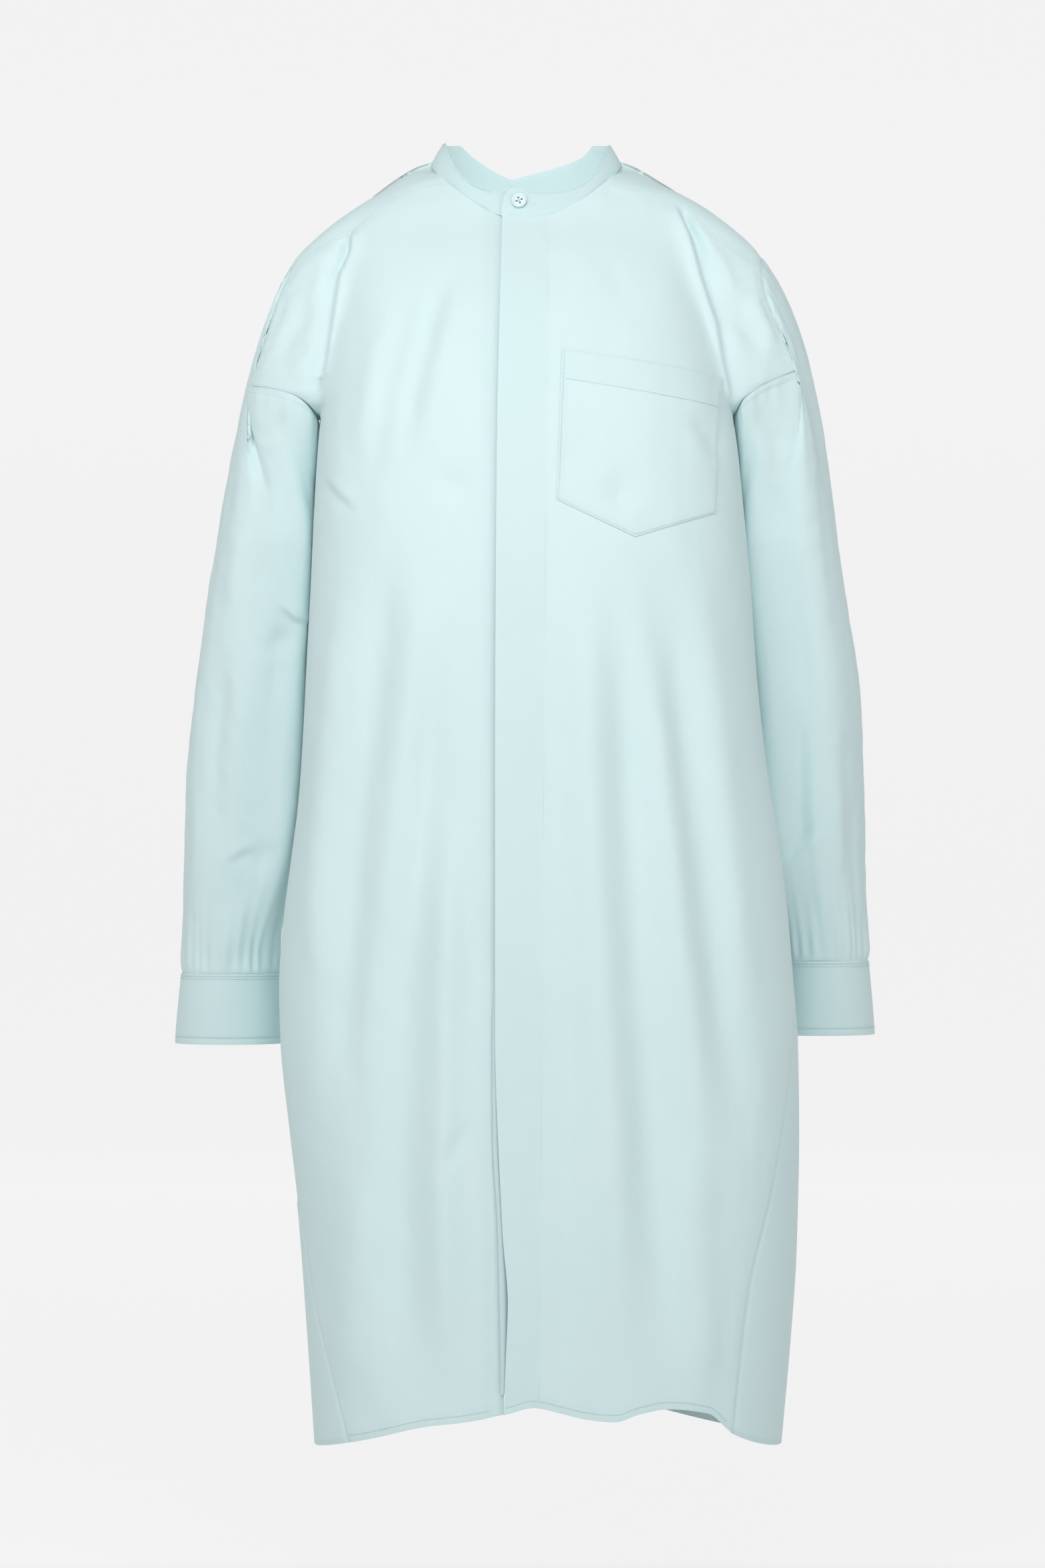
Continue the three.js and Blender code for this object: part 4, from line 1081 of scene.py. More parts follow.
    def build_fly(self) -> None:
        """Makes the inner fly strip, with its buttonholes, and the button stand under it."""
        z = np.linspace(-44, -896, 300)[:, None]
        across = np.linspace(0, 1, 26)[None, :]
        edge = table(self.strip_edge, z)
        x = edge + (table(self.fly_seam, z) - 1 - edge) * across
        lift = -1.3 - 3.4 * smooth(x, edge + 2, edge + 9) * (1 - smooth(x, 4, 8))
        places, _ = self.face(True, x, z + 0 * x, lift)
        cuts = self.button_heights()
        in_slot = sum(((np.abs(z - height) < 7) & (np.abs(x - self.button_x) < 0.8)) for height in cuts) > 0
        strip = Cloth("fly_strip_cloth", places, gone=in_slot[:-1, :-1] & in_slot[1:, 1:], doubled=np.ones_like(x))
        self.hang(strip, "fly_strip", (0.034, 0.855), ("front_left_cloth",))
        x = np.linspace(-50, 9, 30)[None, :] + 0 * z
        lift = -1.6 - 4.8 * smooth(x, -30, -19)
        base = self.push(False, x, z + 0 * x)
        places, _ = FORM.front_point(x, z + 0 * x, np.where(x < -30, base - 1.2, np.minimum(base - 1.2, lift)))
        stand = Cloth("button_stand_cloth", places, doubled=np.ones_like(x))
        self.hang(stand, "button_stand", (0.060, 0.860), ("front_right_cloth",))

    def button_heights(self) -> list[float]:
        """The heights of the six buttons inside the fly."""
        return [self.first_button - self.button_pitch * i for i in range(6)]

    def build_pocket(self) -> None:
        """Makes the breast pocket: a turned hem, a pointed foot, and its stitches."""
        corners = np.array(on_front(((27.6, -104), (23, -220), (83, -248.5), (145, -229), (150, -123))))
        u = np.linspace(0, 1, 110)[None, :]
        v = np.linspace(0, 1, 118)[:, None]
        foot_x, foot_z = (np.interp(u, [0, 0.5, 1], corners[[1, 2, 3], k]) for k in (0, 1))
        top_x, top_z = (corners[0, k] + (corners[4, k] - corners[0, k]) * u for k in (0, 1))
        x, z = top_x + (foot_x - top_x) * v, top_z + (foot_z - top_z) * v
        down = top_z - z
        hem = 1 - smooth(down, 22, 23)
        rim = np.minimum(np.minimum(u, 1 - u) * 118, np.minimum(down + 40, (1 - v) * 118))
        gape = 0.35 * np.exp(-((down / 12) ** 2)) * np.sin(np.pi * u) ** 0.7
        foot = 0.3 + 0.7 * smooth(v, 0.72, 0.9)
        lift = 0.95 + 0.5 * foot + 0.12 * hem + gape
        lift = lift - 0.7 * foot * np.exp(-((rim / 1.2) ** 2)) - 0.1 * np.exp(-(((down - 23.5) / 0.8) ** 2))
        places, _ = self.face(True, x, z, lift)
        doubled = 0.12 * np.maximum(hem, 1 - smooth(rim, 5, 7))
        pocket = Cloth("breast_pocket_cloth", places, thick=0.5, doubled=doubled)
        self.hang(pocket, "breast_pocket", (0.127, 0.148), ("front_left_cloth",))
        inset = 1.6
        inward = [(inset, 0), (inset, 1.0), (0, inset + 0.3), (-inset, 1.0), (-inset, 0)]
        path = resampled(corners + inward, 240)
        hem_line = resampled(corners[[0, 4]] + [(2, -22.4), (-2, -22.4)], 80)
        self.stitch("pocket_stitches", [self.face(True, p[:, 0], p[:, 1], 1.45) for p in (path, hem_line)])

    def stitch(self, name: str, lines: StitchLines) -> None:
        """Makes a piece of stitches and has it ride on the torso."""
        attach(stitched(name, lines, self.finishes), "torso")

    def build_stitches(self) -> None:
        """Makes the stitches of the fly, the hems and the yoke's front seams."""
        z = np.linspace(-8, -900, 600)
        self.stitch("fly_stitches", [self.face(True, table(self.fly_seam, z), z, 0.1)])
        lines = []
        for left in (True, False):
            x = np.linspace(-16, 152, 200) if left else np.linspace(-134, -26, 140)
            lines.append(self.face(left, x, table(HEM, x) + self.hem_deep - 0.6, 0.35))
        self.stitch("hem_stitches", lines)
        lines = []
        for left, seams in ((True, LEFT_SEAMS), (False, RIGHT_SEAMS)):
            sign = 1 if left else -1
            x = np.linspace(seams.yoke_from + 3, 176, 120) * sign
            lines.append(self.face(left, x, seams.top(x) - 2.0, 0.1))
        self.stitch("yoke_front_stitches", lines)
        x = np.linspace(-186, 186, 300)
        z = LEFT_SEAMS.back_z + 3.0 + 0 * x
        slope = np.gradient(FORM.back(x, z), x)
        normals = unit(np.stack([-slope, np.ones_like(x), 0.25 + 0 * x], 1))
        points = np.stack([x, FORM.back(x, z), z], 1) + normals * 0.35
        self.stitch("yoke_back_stitches", [(points, normals)])

    def build(self) -> None:
        """Makes every piece of the body."""
        self.build_front(True)
        self.build_front(False)
        self.build_back()
        self.build_yoke()
        self.build_fly()
        self.build_pocket()
        self.build_stitches()


# ---------------------------------------------------------------- the neck band
@dataclass
class NeckBand:
    """The standing band round the neck: its outer and lining, its buttonhole and stitches.

    Attributes:
        finishes: The gown's finishes.
        half_x: Half the neck opening's width.
        half_y: Half its depth.
        seat: How far outside the neck opening its seam lies.
        start: The turn at which the lapped end stands, in radians.
        underlap: How far it goes on under its own end, in degrees.
        corner: The radius of the lapped end's upper corner.
        radius: Its mean radius, to turn angles into lengths along it.
        hole_from: Where the buttonhole starts, across the front.
        hole_to: Where it ends.
        hole_up: Its place as a share of the band's height.
    """

    finishes: Wardrobe
    half_x: float = 72.0
    half_y: float = 59.0
    seat: float = 1.2
    start: float = math.acos(-19 / 72)
    underlap: float = 26.0
    corner: float = 9.0
    radius: float = 65.0
    hole_from: float = -4.0
    hole_to: float = 6.8
    hole_up: float = 0.52

    def around(self, side: float, front: float, back: float, turn: Grid) -> Grid:
        """A measure of the band, from its values at the sides, front and back."""
        return side + (np.where(np.sin(turn) > 0, front, back) - side) * np.sin(turn) ** 2

    def top(self, turn: Grid) -> Grid:
        """The height of the band's upper edge: low and level in front, a shallow V behind."""
        across = np.cos(turn)
        front = 15.5 + 42 * np.abs(across) ** 3.8 + 1.5 * smooth(-across, 0.1, 0.5)
        back = table((
            (-1, 57.5), (-0.89, 59), (-0.8, 56), (-0.7, 52), (-0.23, 37.2), (-0.17, 36), (-0.11, 37), (0.7, 51),
            (0.8, 55), (0.89, 59), (1, 57.5),
        ), across)
        along = (self.start - np.asarray(turn)) * self.radius
        raised = np.where(along > math.pi * self.radius, 0, np.exp(-(((along - 8) / 10) ** 2)))
        return np.where(np.sin(turn) > 0, front + 6.5 * raised, back)

    def point(self, turn: Grid, up: Grid, out: Grid) -> Grid:
        """A point of the band at a turn and a share of its height, this far out."""
        low = self.around(37, -4, 14, turn) + 6 * np.abs(np.cos(turn)) ** 12
        high = self.top(turn)
        z = low - 1.5 + (high - low + 1.5) * up
        lean = self.around(0.58, 0.34, 0.3, turn)
        reach = self.seat + out - lean * (z - low) + 0.35 * drift(turn * 60, up * 10, (16, 9), 31)
        x, y = (self.half_x + reach) * np.cos(turn), -(self.half_y + reach) * np.sin(turn)
        return np.stack([x, y, z + 0 * reach], -1)

    def layer(self, name: str, out: float, doubled: float) -> Cloth:
        """One layer of the band, with its end's corner rounded and its buttonhole cut."""
        whole = 2 * math.pi + math.radians(self.underlap)
        gone = np.linspace(0, whole, 620)[None, :]
        up = np.linspace(0, 1, 30)[:, None]
        along = gone * self.radius
        cut = np.clip(1 - along / self.corner, 0, 1)
        shorter = 1 - (self.corner / 24) * (1 - np.sqrt(1 - cut**2))
        under = 3.2 * smooth(gone, 2 * math.pi - math.radians(30), 2 * math.pi - math.radians(4))
        crown = 0.5 * np.sin(math.pi * up) - 0.5 * smooth(up, 0.9, 1.0) * (1 if out >= 0 else -1)
        turn = self.start - gone
        places = self.point(turn + 0 * up, up * shorter, out - under + crown)
        x, front = places[..., 0], places[..., 1] < -40
        slot = front & (x > self.hole_from) & (x < self.hole_to) & (np.abs(up - self.hole_up) < 0.03) & (along < 60)
        gone = slot[:-1, :-1] & slot[1:, 1:]
        return Cloth(name, places, middle=(0, 0), gone=gone, doubled=doubled + 0 * x, thick=0.6)

    def build(self) -> None:
        """Makes the band's two layers, its stitches and its buttonhole."""
        for name, out in (("outer", 0.0), ("lining", -1.3)):
            node = "collar_band_" + name
            cloth, rests_on = self.layer(node + "_cloth", out, 0.6), ("yoke_outer_cloth",)
            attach(made_up(cloth, self.finishes, node, (0.472, 0.0235), rests_on), "torso")
        turn = np.linspace(self.start - 0.03, self.start - 2 * math.pi + 0.1, 900)
        lines = []
        for up in (0.09, 0.93):
            points = self.point(turn, up + 0 * turn, 0.25)
            normals = unit(np.stack([points[:, 0], points[:, 1] * 1.3, 20 + 0 * turn], 1))
            lines.append((points, normals))
        look = Stitching(pitch=2.6, long=2.0, wide=0.45)
        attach(stitched("collar_band_stitches", lines, self.finishes, look), "torso")
        self.build_buttonhole()

    def build_buttonhole(self) -> None:
        """Makes the close zigzag of thread round the buttonhole."""
        side = np.linspace(self.hole_from, self.hole_to, 50)
        end = np.linspace(-0.09, 0.09, 12)
        lines = []
        for x, up in ((side, -0.055 + 0 * side), (side, 0.055 + 0 * side), (self.hole_to + 0.4 + 0 * end, end)):
            points = self.point(np.arccos(x / self.half_x), self.hole_up + up, 0.5)
            lines.append((points, unit(np.stack([points[:, 0] * 0.2, points[:, 1], 12 + 0 * x], 1))))
        look = Stitching(pitch=0.5, long=0.4, wide=0.9, high=0.25)
        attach(stitched("neck_buttonhole", lines, self.finishes, look), "torso")


# ---------------------------------------------------------------- buttons
@dataclass
class ShirtButton:
    """A dished four-hole button, sewn on with a shank and crossed threads.

    Attributes:
        finishes: The gown's finishes.
        radius: Half its diameter.
        thick: Its thickness at the rim.
        rim: The rim's width.
        dish: How far its middle lies below the rim.
        hole: The holes' radius.
        spread: From its middle to a hole's.
        first_hole: The turn of the first hole, in radians.
        around: Points round it.
    """

    finishes: Wardrobe
    radius: float = 5.75
    thick: float = 2.6
    rim: float = 1.25
    dish: float = 0.95
    hole: float = 1.0
    spread: float = 2.05
    first_hole: float = math.radians(20)
    around: int = 72

    def button_mesh(self) -> bpy.types.Mesh:
        """The button, its back on z = 0, with its four holes cut through."""
        r, t, n = self.radius, self.thick, self.around
        inside, floor = r - self.rim, t - self.dish
        profile = [
            (0, 0), (r - 1.1, 0), (r - 0.45, 0.25), (r - 0.1, 0.8), (r, 1.5), (r - 0.12, t - 0.35),
            (r - 0.45, t - 0.08), (r - 0.75, t), (inside, t - 0.12), (inside - 0.35, t - 0.55),
            (inside - 0.8, floor), (0, floor + 0.12),
        ]
        turns = [2 * math.pi * k / n for k in range(n)]
        verts, faces = [], []
        for radius, z in profile:
            verts += [(radius * math.cos(a), radius * math.sin(a), z) for a in (turns if radius else turns[:1])]
        first = lambda i: 1 + (i - 1) * n
        for k in range(n):
            j = (k + 1) % n
            faces.append((0, first(1) + j, first(1) + k))
            for i in range(1, len(profile) - 2):
                faces.append((first(i) + k, first(i) + j, first(i + 1) + j, first(i + 1) + k))
            last = len(verts) - 1
            faces.append((last, first(len(profile) - 2) + k, first(len(profile) - 2) + j))
        made = set_mesh("button_form", np.array(verts), faces)
        for k in range(4):
            a = self.first_hole + k * math.pi / 2
            bpy.ops.mesh.primitive_cylinder_add(
                vertices=20, radius=self.hole * MM, depth=12 * MM,
                location=(self.spread * math.cos(a) * MM, self.spread * math.sin(a) * MM, 0),
            )
            drill = bpy.context.object
            cut = made.modifiers.new("hole", "BOOLEAN")
            cut.object, cut.operation, cut.solver = drill, "DIFFERENCE", "EXACT"
        bpy.context.view_layer.update()
        cut_mesh = bpy.data.meshes.new_from_object(made.evaluated_get(bpy.context.evaluated_depsgraph_get()))
        drills = [m.object for m in made.modifiers]
        for o in [made, *drills]:
            bpy.data.objects.remove(o)
        cut_mesh.set_sharp_from_angle(angle=math.radians(40))
        cut_mesh.materials.clear()
        cut_mesh.materials.append(self.finishes.resin)
        return cut_mesh

    def thread_mesh(self, shank: float) -> bpy.types.Mesh:
        """The thread: two crossed bundles over the face, down the holes, and a wound shank below.

        Args:
            shank: The shank's length.

        Returns:
            The mesh, the button's back on z = 0.
        """
        verts, faces = [], []

        def tube(path: Grid, radius: float, sides: int = 8) -> None:
            """Adds a round thread along a path."""
            path = np.asarray(path, float)
            ahead = unit(np.gradient(path, axis=0))
            up = np.where(np.abs(ahead[:, 2:]) > 0.9, [[1.0, 0, 0]], [[0, 0, 1.0]])
            across = unit(np.cross(ahead, up))
            over = np.cross(across, ahead)
            base = len(verts)
            for p, s, o in zip(path, across, over):
                for k in range(sides):
                    a = 2 * math.pi * k / sides
                    verts.append(p + radius * (s * math.cos(a) + o * math.sin(a)))
            at = lambda i, k: base + i * sides + k % sides
            last = len(path) - 1
            for i in range(last):
                faces.extend((at(i, k), at(i, k + 1), at(i + 1, k + 1), at(i + 1, k)) for k in range(sides))
            faces.append(tuple(at(0, k) for k in range(sides))[::-1])
            faces.append(tuple(at(last, k) for k in range(sides)))

        floor = self.thick - self.dish + 0.25
        for bundle in range(2):
            for strand in (-0.14, 0.14):
                a = self.first_hole + bundle * math.pi / 2
                share = np.linspace(-1, 1, 25)
                along = self.spread * share
                arch = floor + 0.55 * (1 - share**2) + 0.15 * bundle
                sink = np.where(np.abs(share) > 0.97, -1.6, arch)
                x = along * math.cos(a) - strand * math.sin(a)
                y = along * math.sin(a) + strand * math.cos(a)
                tube(np.stack([x, y, sink], 1), 0.11)
        turns = np.linspace(0, 1, 90)
        spin = 2 * math.pi * 6 * turns
        shank_path = np.stack([0.62 * np.cos(spin), 0.62 * np.sin(spin), -shank * turns], 1)
        tube(shank_path, 0.22)
        tube([(0, 0, 0.3), (0, 0, -shank)], 0.6)
        made = set_mesh("thread_form", np.array(verts), faces)
        mesh = made.data
        bpy.data.objects.remove(made)
        mesh.materials.clear()
        mesh.materials.append(self.finishes.thread)
        return mesh

    def sew(
        self, name: str, place: Grid, normal: Grid, body: str, button: bpy.types.Mesh, thread: bpy.types.Mesh,
    ) -> None:
        """Sets one button and its thread on cloth.

        Args:
            name: The CAD node that the button replaces. The thread's is the same with _thread.
            place: The middle of the button's back.
            normal: The way that its face looks.
            body: The body that it rides on.
            button: The button's mesh.
            thread: The thread's mesh.
        """
        normal = Vector(normal).normalized()
        sideways = Vector((0, 0, 1)).cross(normal).normalized()
        seat = Matrix((sideways, normal.cross(sideways), normal)).transposed().to_4x4()
        seat.translation = Vector(place) * MM
        for node, mesh, slot in ((name, button, "button"), (name + "_thread", thread, "thread")):
            piece = bpy.data.objects.new(node + "_sewn", mesh.copy())
            bpy.context.scene.collection.objects.link(piece)
            piece.data.transform(seat)
            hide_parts(node)
            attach(piece, body)
        log.info("%s sewn on %s", name, body)


# ---------------------------------------------------------------- sleeves and cuffs
@dataclass
class Sleeve:
    """One long sleeve from the dropped armhole to its cuff, with its placket, cuff and stitches.

    Attributes:
        finishes: The gown's finishes.
        left: Whether it is the wearer's left sleeve.
        outer: Where its outer side runs, as (z, x).
        inner: Where its inner side runs.
        cuff_top: The height of the cuff's seam.
        cuff_end: The height of the cuff's hem.
        lead: How far out its cap leaves the armhole.
        seed: Which unevenness it has.
        folds: The folds of its front.
        back_folds: The folds of its back.
        middle_y: How far behind the neck it hangs.
        half_y: Half its depth.
        cap_end: The height at which the cap has become a level section.
        cuff_x: How far out the cuff's middle is.
        cuff_y: How far behind the neck it is.
        cuff_half_y: Half its depth.
        overlap: How far its ends lap, in radians.
        around: Points round the sleeve.
        cap_rows: Rows in the cap.
        low_rows: Rows below it.
    """

    finishes: Wardrobe
    left: bool
    outer: Line
    inner: Line
    cuff_top: float
    cuff_end: float
    lead: float
    seed: int
    folds: Sequence[Fold]
    back_folds: Sequence[Fold]
    middle_y: Line = ((-157, -6), (-248, 16), (-366, 33), (-493, 45), (-577, 55), (-640, 56))
    half_y: Line = ((-157, 52), (-248, 60), (-366, 52), (-493, 43), (-560, 39.5), (-577, 38), (-640, 38))
    cap_end: float = -252.0
    cuff_x: float = 229.0
    cuff_y: float = 55.0
    cuff_half_y: float = 38.0
    overlap: float = math.radians(32)
    around: int = 176
    cap_rows: int = 70
    low_rows: int = 130

    @property
    def name(self) -> str:
        """The side's name."""
        return "left" if self.left else "right"

    @property
    def sign(self) -> int:
        """1 on the wearer's left."""
        return 1 if self.left else -1

    def ring(self) -> Grid:
        """The armhole seam as a loop: down the front from the shoulder to the armpit, and up the back."""
        seams, sign = (LEFT_SEAMS if self.left else RIGHT_SEAMS), self.sign
        top = float(FORM.ridge(sign * seams.shoulder_x))
        z = np.linspace(seams.armhole[0][0], FORM.armpit_z, 200)
        x = table(seams.armhole, z)
        front = np.stack([x, FORM.front(sign * x, z), z], 1)
        front = np.concatenate([[[seams.shoulder_x, float(table(FORM.side_y, top)), top]], front])
        front[-1, 1] = -25
        z = np.linspace(top - 0.5, FORM.armpit_z, 200)
        x = table(seams.back_armhole, z)
        back = np.stack([x, FORM.back(sign * x, z), z], 1)
        back = np.concatenate([front[:1], back])
        back[-1] = front[-1]
        half = self.around // 2
        return np.concatenate([resampled(front, half + 1)[:-1], resampled(back, half + 1)[::-1][:-1]])

    def section(self, z: float) -> Grid:
        """A level section below the cap, from its outer side round by the front, squarer by the body."""
        turn = np.linspace(0, 2 * math.pi, 1440)
        outer, inner = float(table(self.outer, z)), float(table(self.inner, z))
        cosine, sine = np.cos(turn), np.sin(turn)
        flat = smooth(z, self.cuff_top + 10, self.cuff_top + 130)
        power = 0.92 - 0.66 * flat * smooth(-cosine, -0.05, 0.25) * smooth(sine, -0.5, 0.3)
        x = (outer + inner) / 2 + (outer - inner) / 2 * np.sign(cosine) * np.abs(cosine) ** power
        y = table(self.middle_y, z) - table(self.half_y, z) * np.sign(sine) * np.abs(sine) ** power
        return resampled(np.stack([x, y, np.full(len(x), float(z))], 1), self.around + 1)[:-1]

    def surface(self) -> tuple[Grid, Grid]:
        """The sleeve's bare points, x counted outward, and each row's distance from its armhole."""
        ring = self.ring()
        turn = np.linspace(0, 2 * math.pi, self.around, endpoint=False)
        low = self.section(self.cap_end)
        down = (1 - np.cos(turn)) / 2
        backward = 0.1 * (low[:, 1] - ring[:, 1]) / 30
        lead = unit(np.stack([self.lead * (1 - down) + 0.02, backward, -0.86 - 0.14 * down], 1))
        length = np.linalg.norm(low - ring, axis=1)[:, None]
        rise = np.stack([-0.17 + 0.13 * down, -0.08 + 0 * down, 1 + 0 * down], 1)
        first, second = ring + lead * length * 0.30, low + rise * length * 0.38
        t = np.linspace(0, 1, self.cap_rows)[:, None, None]
        cap = ring * (1 - t) ** 3 + 3 * first * t * (1 - t) ** 2 + 3 * second * t * t * (1 - t) + low * t**3
        lower = np.stack([self.section(z) for z in np.linspace(self.cap_end, self.cuff_top, self.low_rows + 1)[1:]])
        places = np.concatenate([cap, lower])
        steps = np.linalg.norm(np.diff(places, axis=0), axis=2)
        gone = np.concatenate([np.zeros((1, self.around)), np.cumsum(steps, 0)])
        return places, gone

    def sleeve_places(self) -> tuple[Grid, Grid, Grid]:
        """The sleeve's points with folds and gathers, its normals, and the bare distances."""
        bare, gone = self.surface()
        turn = np.linspace(0, 2 * math.pi, self.around, endpoint=False)[None, :]
        places = bare * [self.sign, 1, 1]
        middle = ((places[-1, :, 0].mean() + places[90, :, 0].mean()) / 2, 30)
        tube = places - np.mean(places, axis=1, keepdims=True)
        normals = grid_normals(places, True, middle)
        normals = np.where(np.sum(normals * tube, -1, keepdims=True) < 0, -normals, normals)
        x, z = places[..., 0], places[..., 2]
        in_front = smooth(np.sin(turn), -0.15, 0.25)
        push = pushes(self.folds, x, z) * in_front + pushes(self.back_folds, x, z) * (1 - in_front)
        seed, across = self.seed, turn * 40 + 0 * z
        push += 1.6 * drift(across, z, (17, 110), seed) + 0.7 * drift(across, z, (8, 50), seed + 1)
        push += 0.3 * drift(turn * 40 + 0.5 * z, z, (7, 18), seed + 4)
        left_over = z - self.cuff_top
        gathers = np.sin(turn * 26 + 2.5 * drift(turn * 30, z, (9, 60), seed + 2))
        gathers = gathers * 1.3 * np.exp(-np.maximum(left_over, 0) / 26)
        puckers = np.sin(turn * 34 + 3 * drift(turn * 30, z, (6, 40), seed + 3)) * 0.8 * np.exp(-gone / 11)
        push += gathers * smooth(left_over, 0, 5) + puckers * smooth(gone, 0, 4)
        push *= smooth(gone, 0, 8) * (0.35 + 0.65 * smooth(left_over, 0, 12))
        push -= 0.9 * np.exp(-((gone / 1.6) ** 2)) + 0.7 * np.exp(-((left_over / 1.5) ** 2))
        push -= 0.2 * self.under_placket(turn, z)
        return places + normals * push[..., None], normals, gone

    def under_placket(self, turn: Grid, z: Grid) -> Grid:
        """From 0 to 1, whether a place lies under the placket at the back of the wrist."""
        across = np.abs(turn - 1.5 * math.pi) * self.cuff_half_y
        return (1 - smooth(across, 9, 11)) * (1 - smooth(z, self.cuff_top + 116, self.cuff_top + 120))

    def settle(self, piece: bpy.types.Object) -> bpy.types.Object:
        """Bakes a piece's placement into its mesh; the span below the armhole between the torso and this sleeve is
        worked out but not used.
        """
        start = Vector((0.185 * self.sign, 0, -0.1495))
        end = start + Vector((0.0287 * self.sign, 0, -0.0958))
        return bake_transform(piece)

    def build(self) -> None:
        """Makes the sleeve, its placket, cuff and stitches."""
        places, normals, gone = self.sleeve_places()
        cloth = Cloth(self.name + "_sleeve_cloth", places, closed=True, middle=(self.sign * 200, 20))
        cloth.doubled = 0.4 * np.exp(-((gone / 5) ** 4))
        self.settle(made_up(cloth, self.finishes, self.name + "_sleeve", (0.37, 0.475), ("yoke_outer_cloth",)))
        row = int(np.argmin(np.abs(gone.mean(1) - 5)))
        loop = np.concatenate([places[row], places[row][:1]]), np.concatenate([normals[row], normals[row][:1]])
        self.settle(stitched(self.name + "_armhole_stitches", [loop], self.finishes))
        self.build_placket(places, normals)
        self.build_cuff()

    def build_placket(self, places: Grid, normals: Grid) -> None:
        """Makes the placket over the slit at the back of the wrist."""
        middle = 3 * self.around // 4
        rows = np.where(places[:, middle, 2] < self.cuff_top + 120)[0]
        wide = 8
        z = places[rows][:, middle - wide : middle + wide + 1]
        up = normals[rows][:, middle - wide : middle + wide + 1]
        r = np.linspace(0, 1, len(rows))[:, None]
        across = np.abs(np.linspace(-1, 1, 2 * wide + 1))[None, :]
        narrow = np.where(r < 0.08, r / 0.08, 1)
        centre = z[:, wide : wide + 1]
        z = centre + (z - centre) * (0.15 + 0.85 * narrow)[..., None]
        rim = np.exp(-(((1 - across) / 0.1) ** 2))
        self.join("sleeve_placket", z + up * (1.1 - 0.4 * rim)[..., None], 20.0, 0.7, (0.026, 0.120))

    def join(self, part: str, places: Grid, middle_y: float, thick: float, cut: tuple[float, float]) -> None:
        """Makes up a doubled part of the sleeve's end and has it ride on the sleeve.

        Args:
            part: The CAD node, without its side.
            places: The points of its face.
            middle_y: The y of the axis that its face looks away from.
            thick: How thick it is.
            cut: The flat width and length that it is cut from, in metres.
        """
        node, sleeve = self.name + "_" + part, self.name + "_sleeve"
        cloth = Cloth(node + "_cloth", places, thick=thick, middle=(self.sign * self.cuff_x, middle_y))
        cloth.doubled = np.full(places.shape[:2], 0.3)
        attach(made_up(cloth, self.finishes, node, cut, (sleeve + "_cloth",)), sleeve)

    def cuff_point(self, turn: Grid, down: Grid, out: Grid) -> Grid:
        """A point of the cuff at a turn, a share of its depth and this far out."""
        z = self.cuff_top + (self.cuff_end - self.cuff_top) * down
        outer, inner = float(table(self.outer, self.cuff_top)), float(table(self.inner, self.cuff_top))
        middle, half_x = (outer + inner) / 2, (outer - inner) / 2
        flare = (2.4 + 2.6 * np.maximum(np.cos(turn), 0)) * down + out + 0.5
        return np.stack([
            self.sign * (middle + (half_x + flare) * np.cos(turn)),
            self.cuff_y - (self.cuff_half_y + flare) * np.sin(turn),
            z + 0 * turn,
        ], -1)

    def build_cuff(self) -> None:
        """Makes the cuff's two layers and their stitches, lapped at the back of the wrist."""
        start = -math.pi / 2 + self.overlap / 2
        gone = np.linspace(0, 2 * math.pi + self.overlap, 300)[None, :]
        down = np.linspace(0, 1, 44)[:, None]
        under = 2.9 * smooth(gone, 2 * math.pi - math.radians(30), 2 * math.pi - math.radians(4))
        uneven = 0.8 * drift(gone * 38, down * 56, (26, 40), 61 if self.left else 62) * np.sin(math.pi * down)
        groove = 0.55 * np.exp(-(((down - 0.9) / 0.014) ** 2))
        for part, out in (("outer", 0.0), ("lining", -1.4)):
            crown = 0.9 * np.sin(math.pi * down) ** 0.6 - groove * (part == "outer") + uneven
            places = self.cuff_point(start - gone + 0 * down, down + 0 * gone, out - under + crown)
            self.join("cuff_" + part, places, self.cuff_y, 0.6, (0.275, 0.058))
        turn = np.linspace(start - 0.03, start - 2 * math.pi + 0.1, 500)
        lines = []
        for share in (0.035, 0.075, 0.9):
            points = self.cuff_point(turn, share + 0 * turn, 0.6)
            normals = unit(np.stack([self.sign * np.cos(turn), -np.sin(turn), 0 * turn], 1))
            lines.append((points, normals))
        stitches = stitched(self.name + "_cuff_stitches", lines, self.finishes, Stitching(pitch=2.7))
        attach(stitches, self.name + "_sleeve")


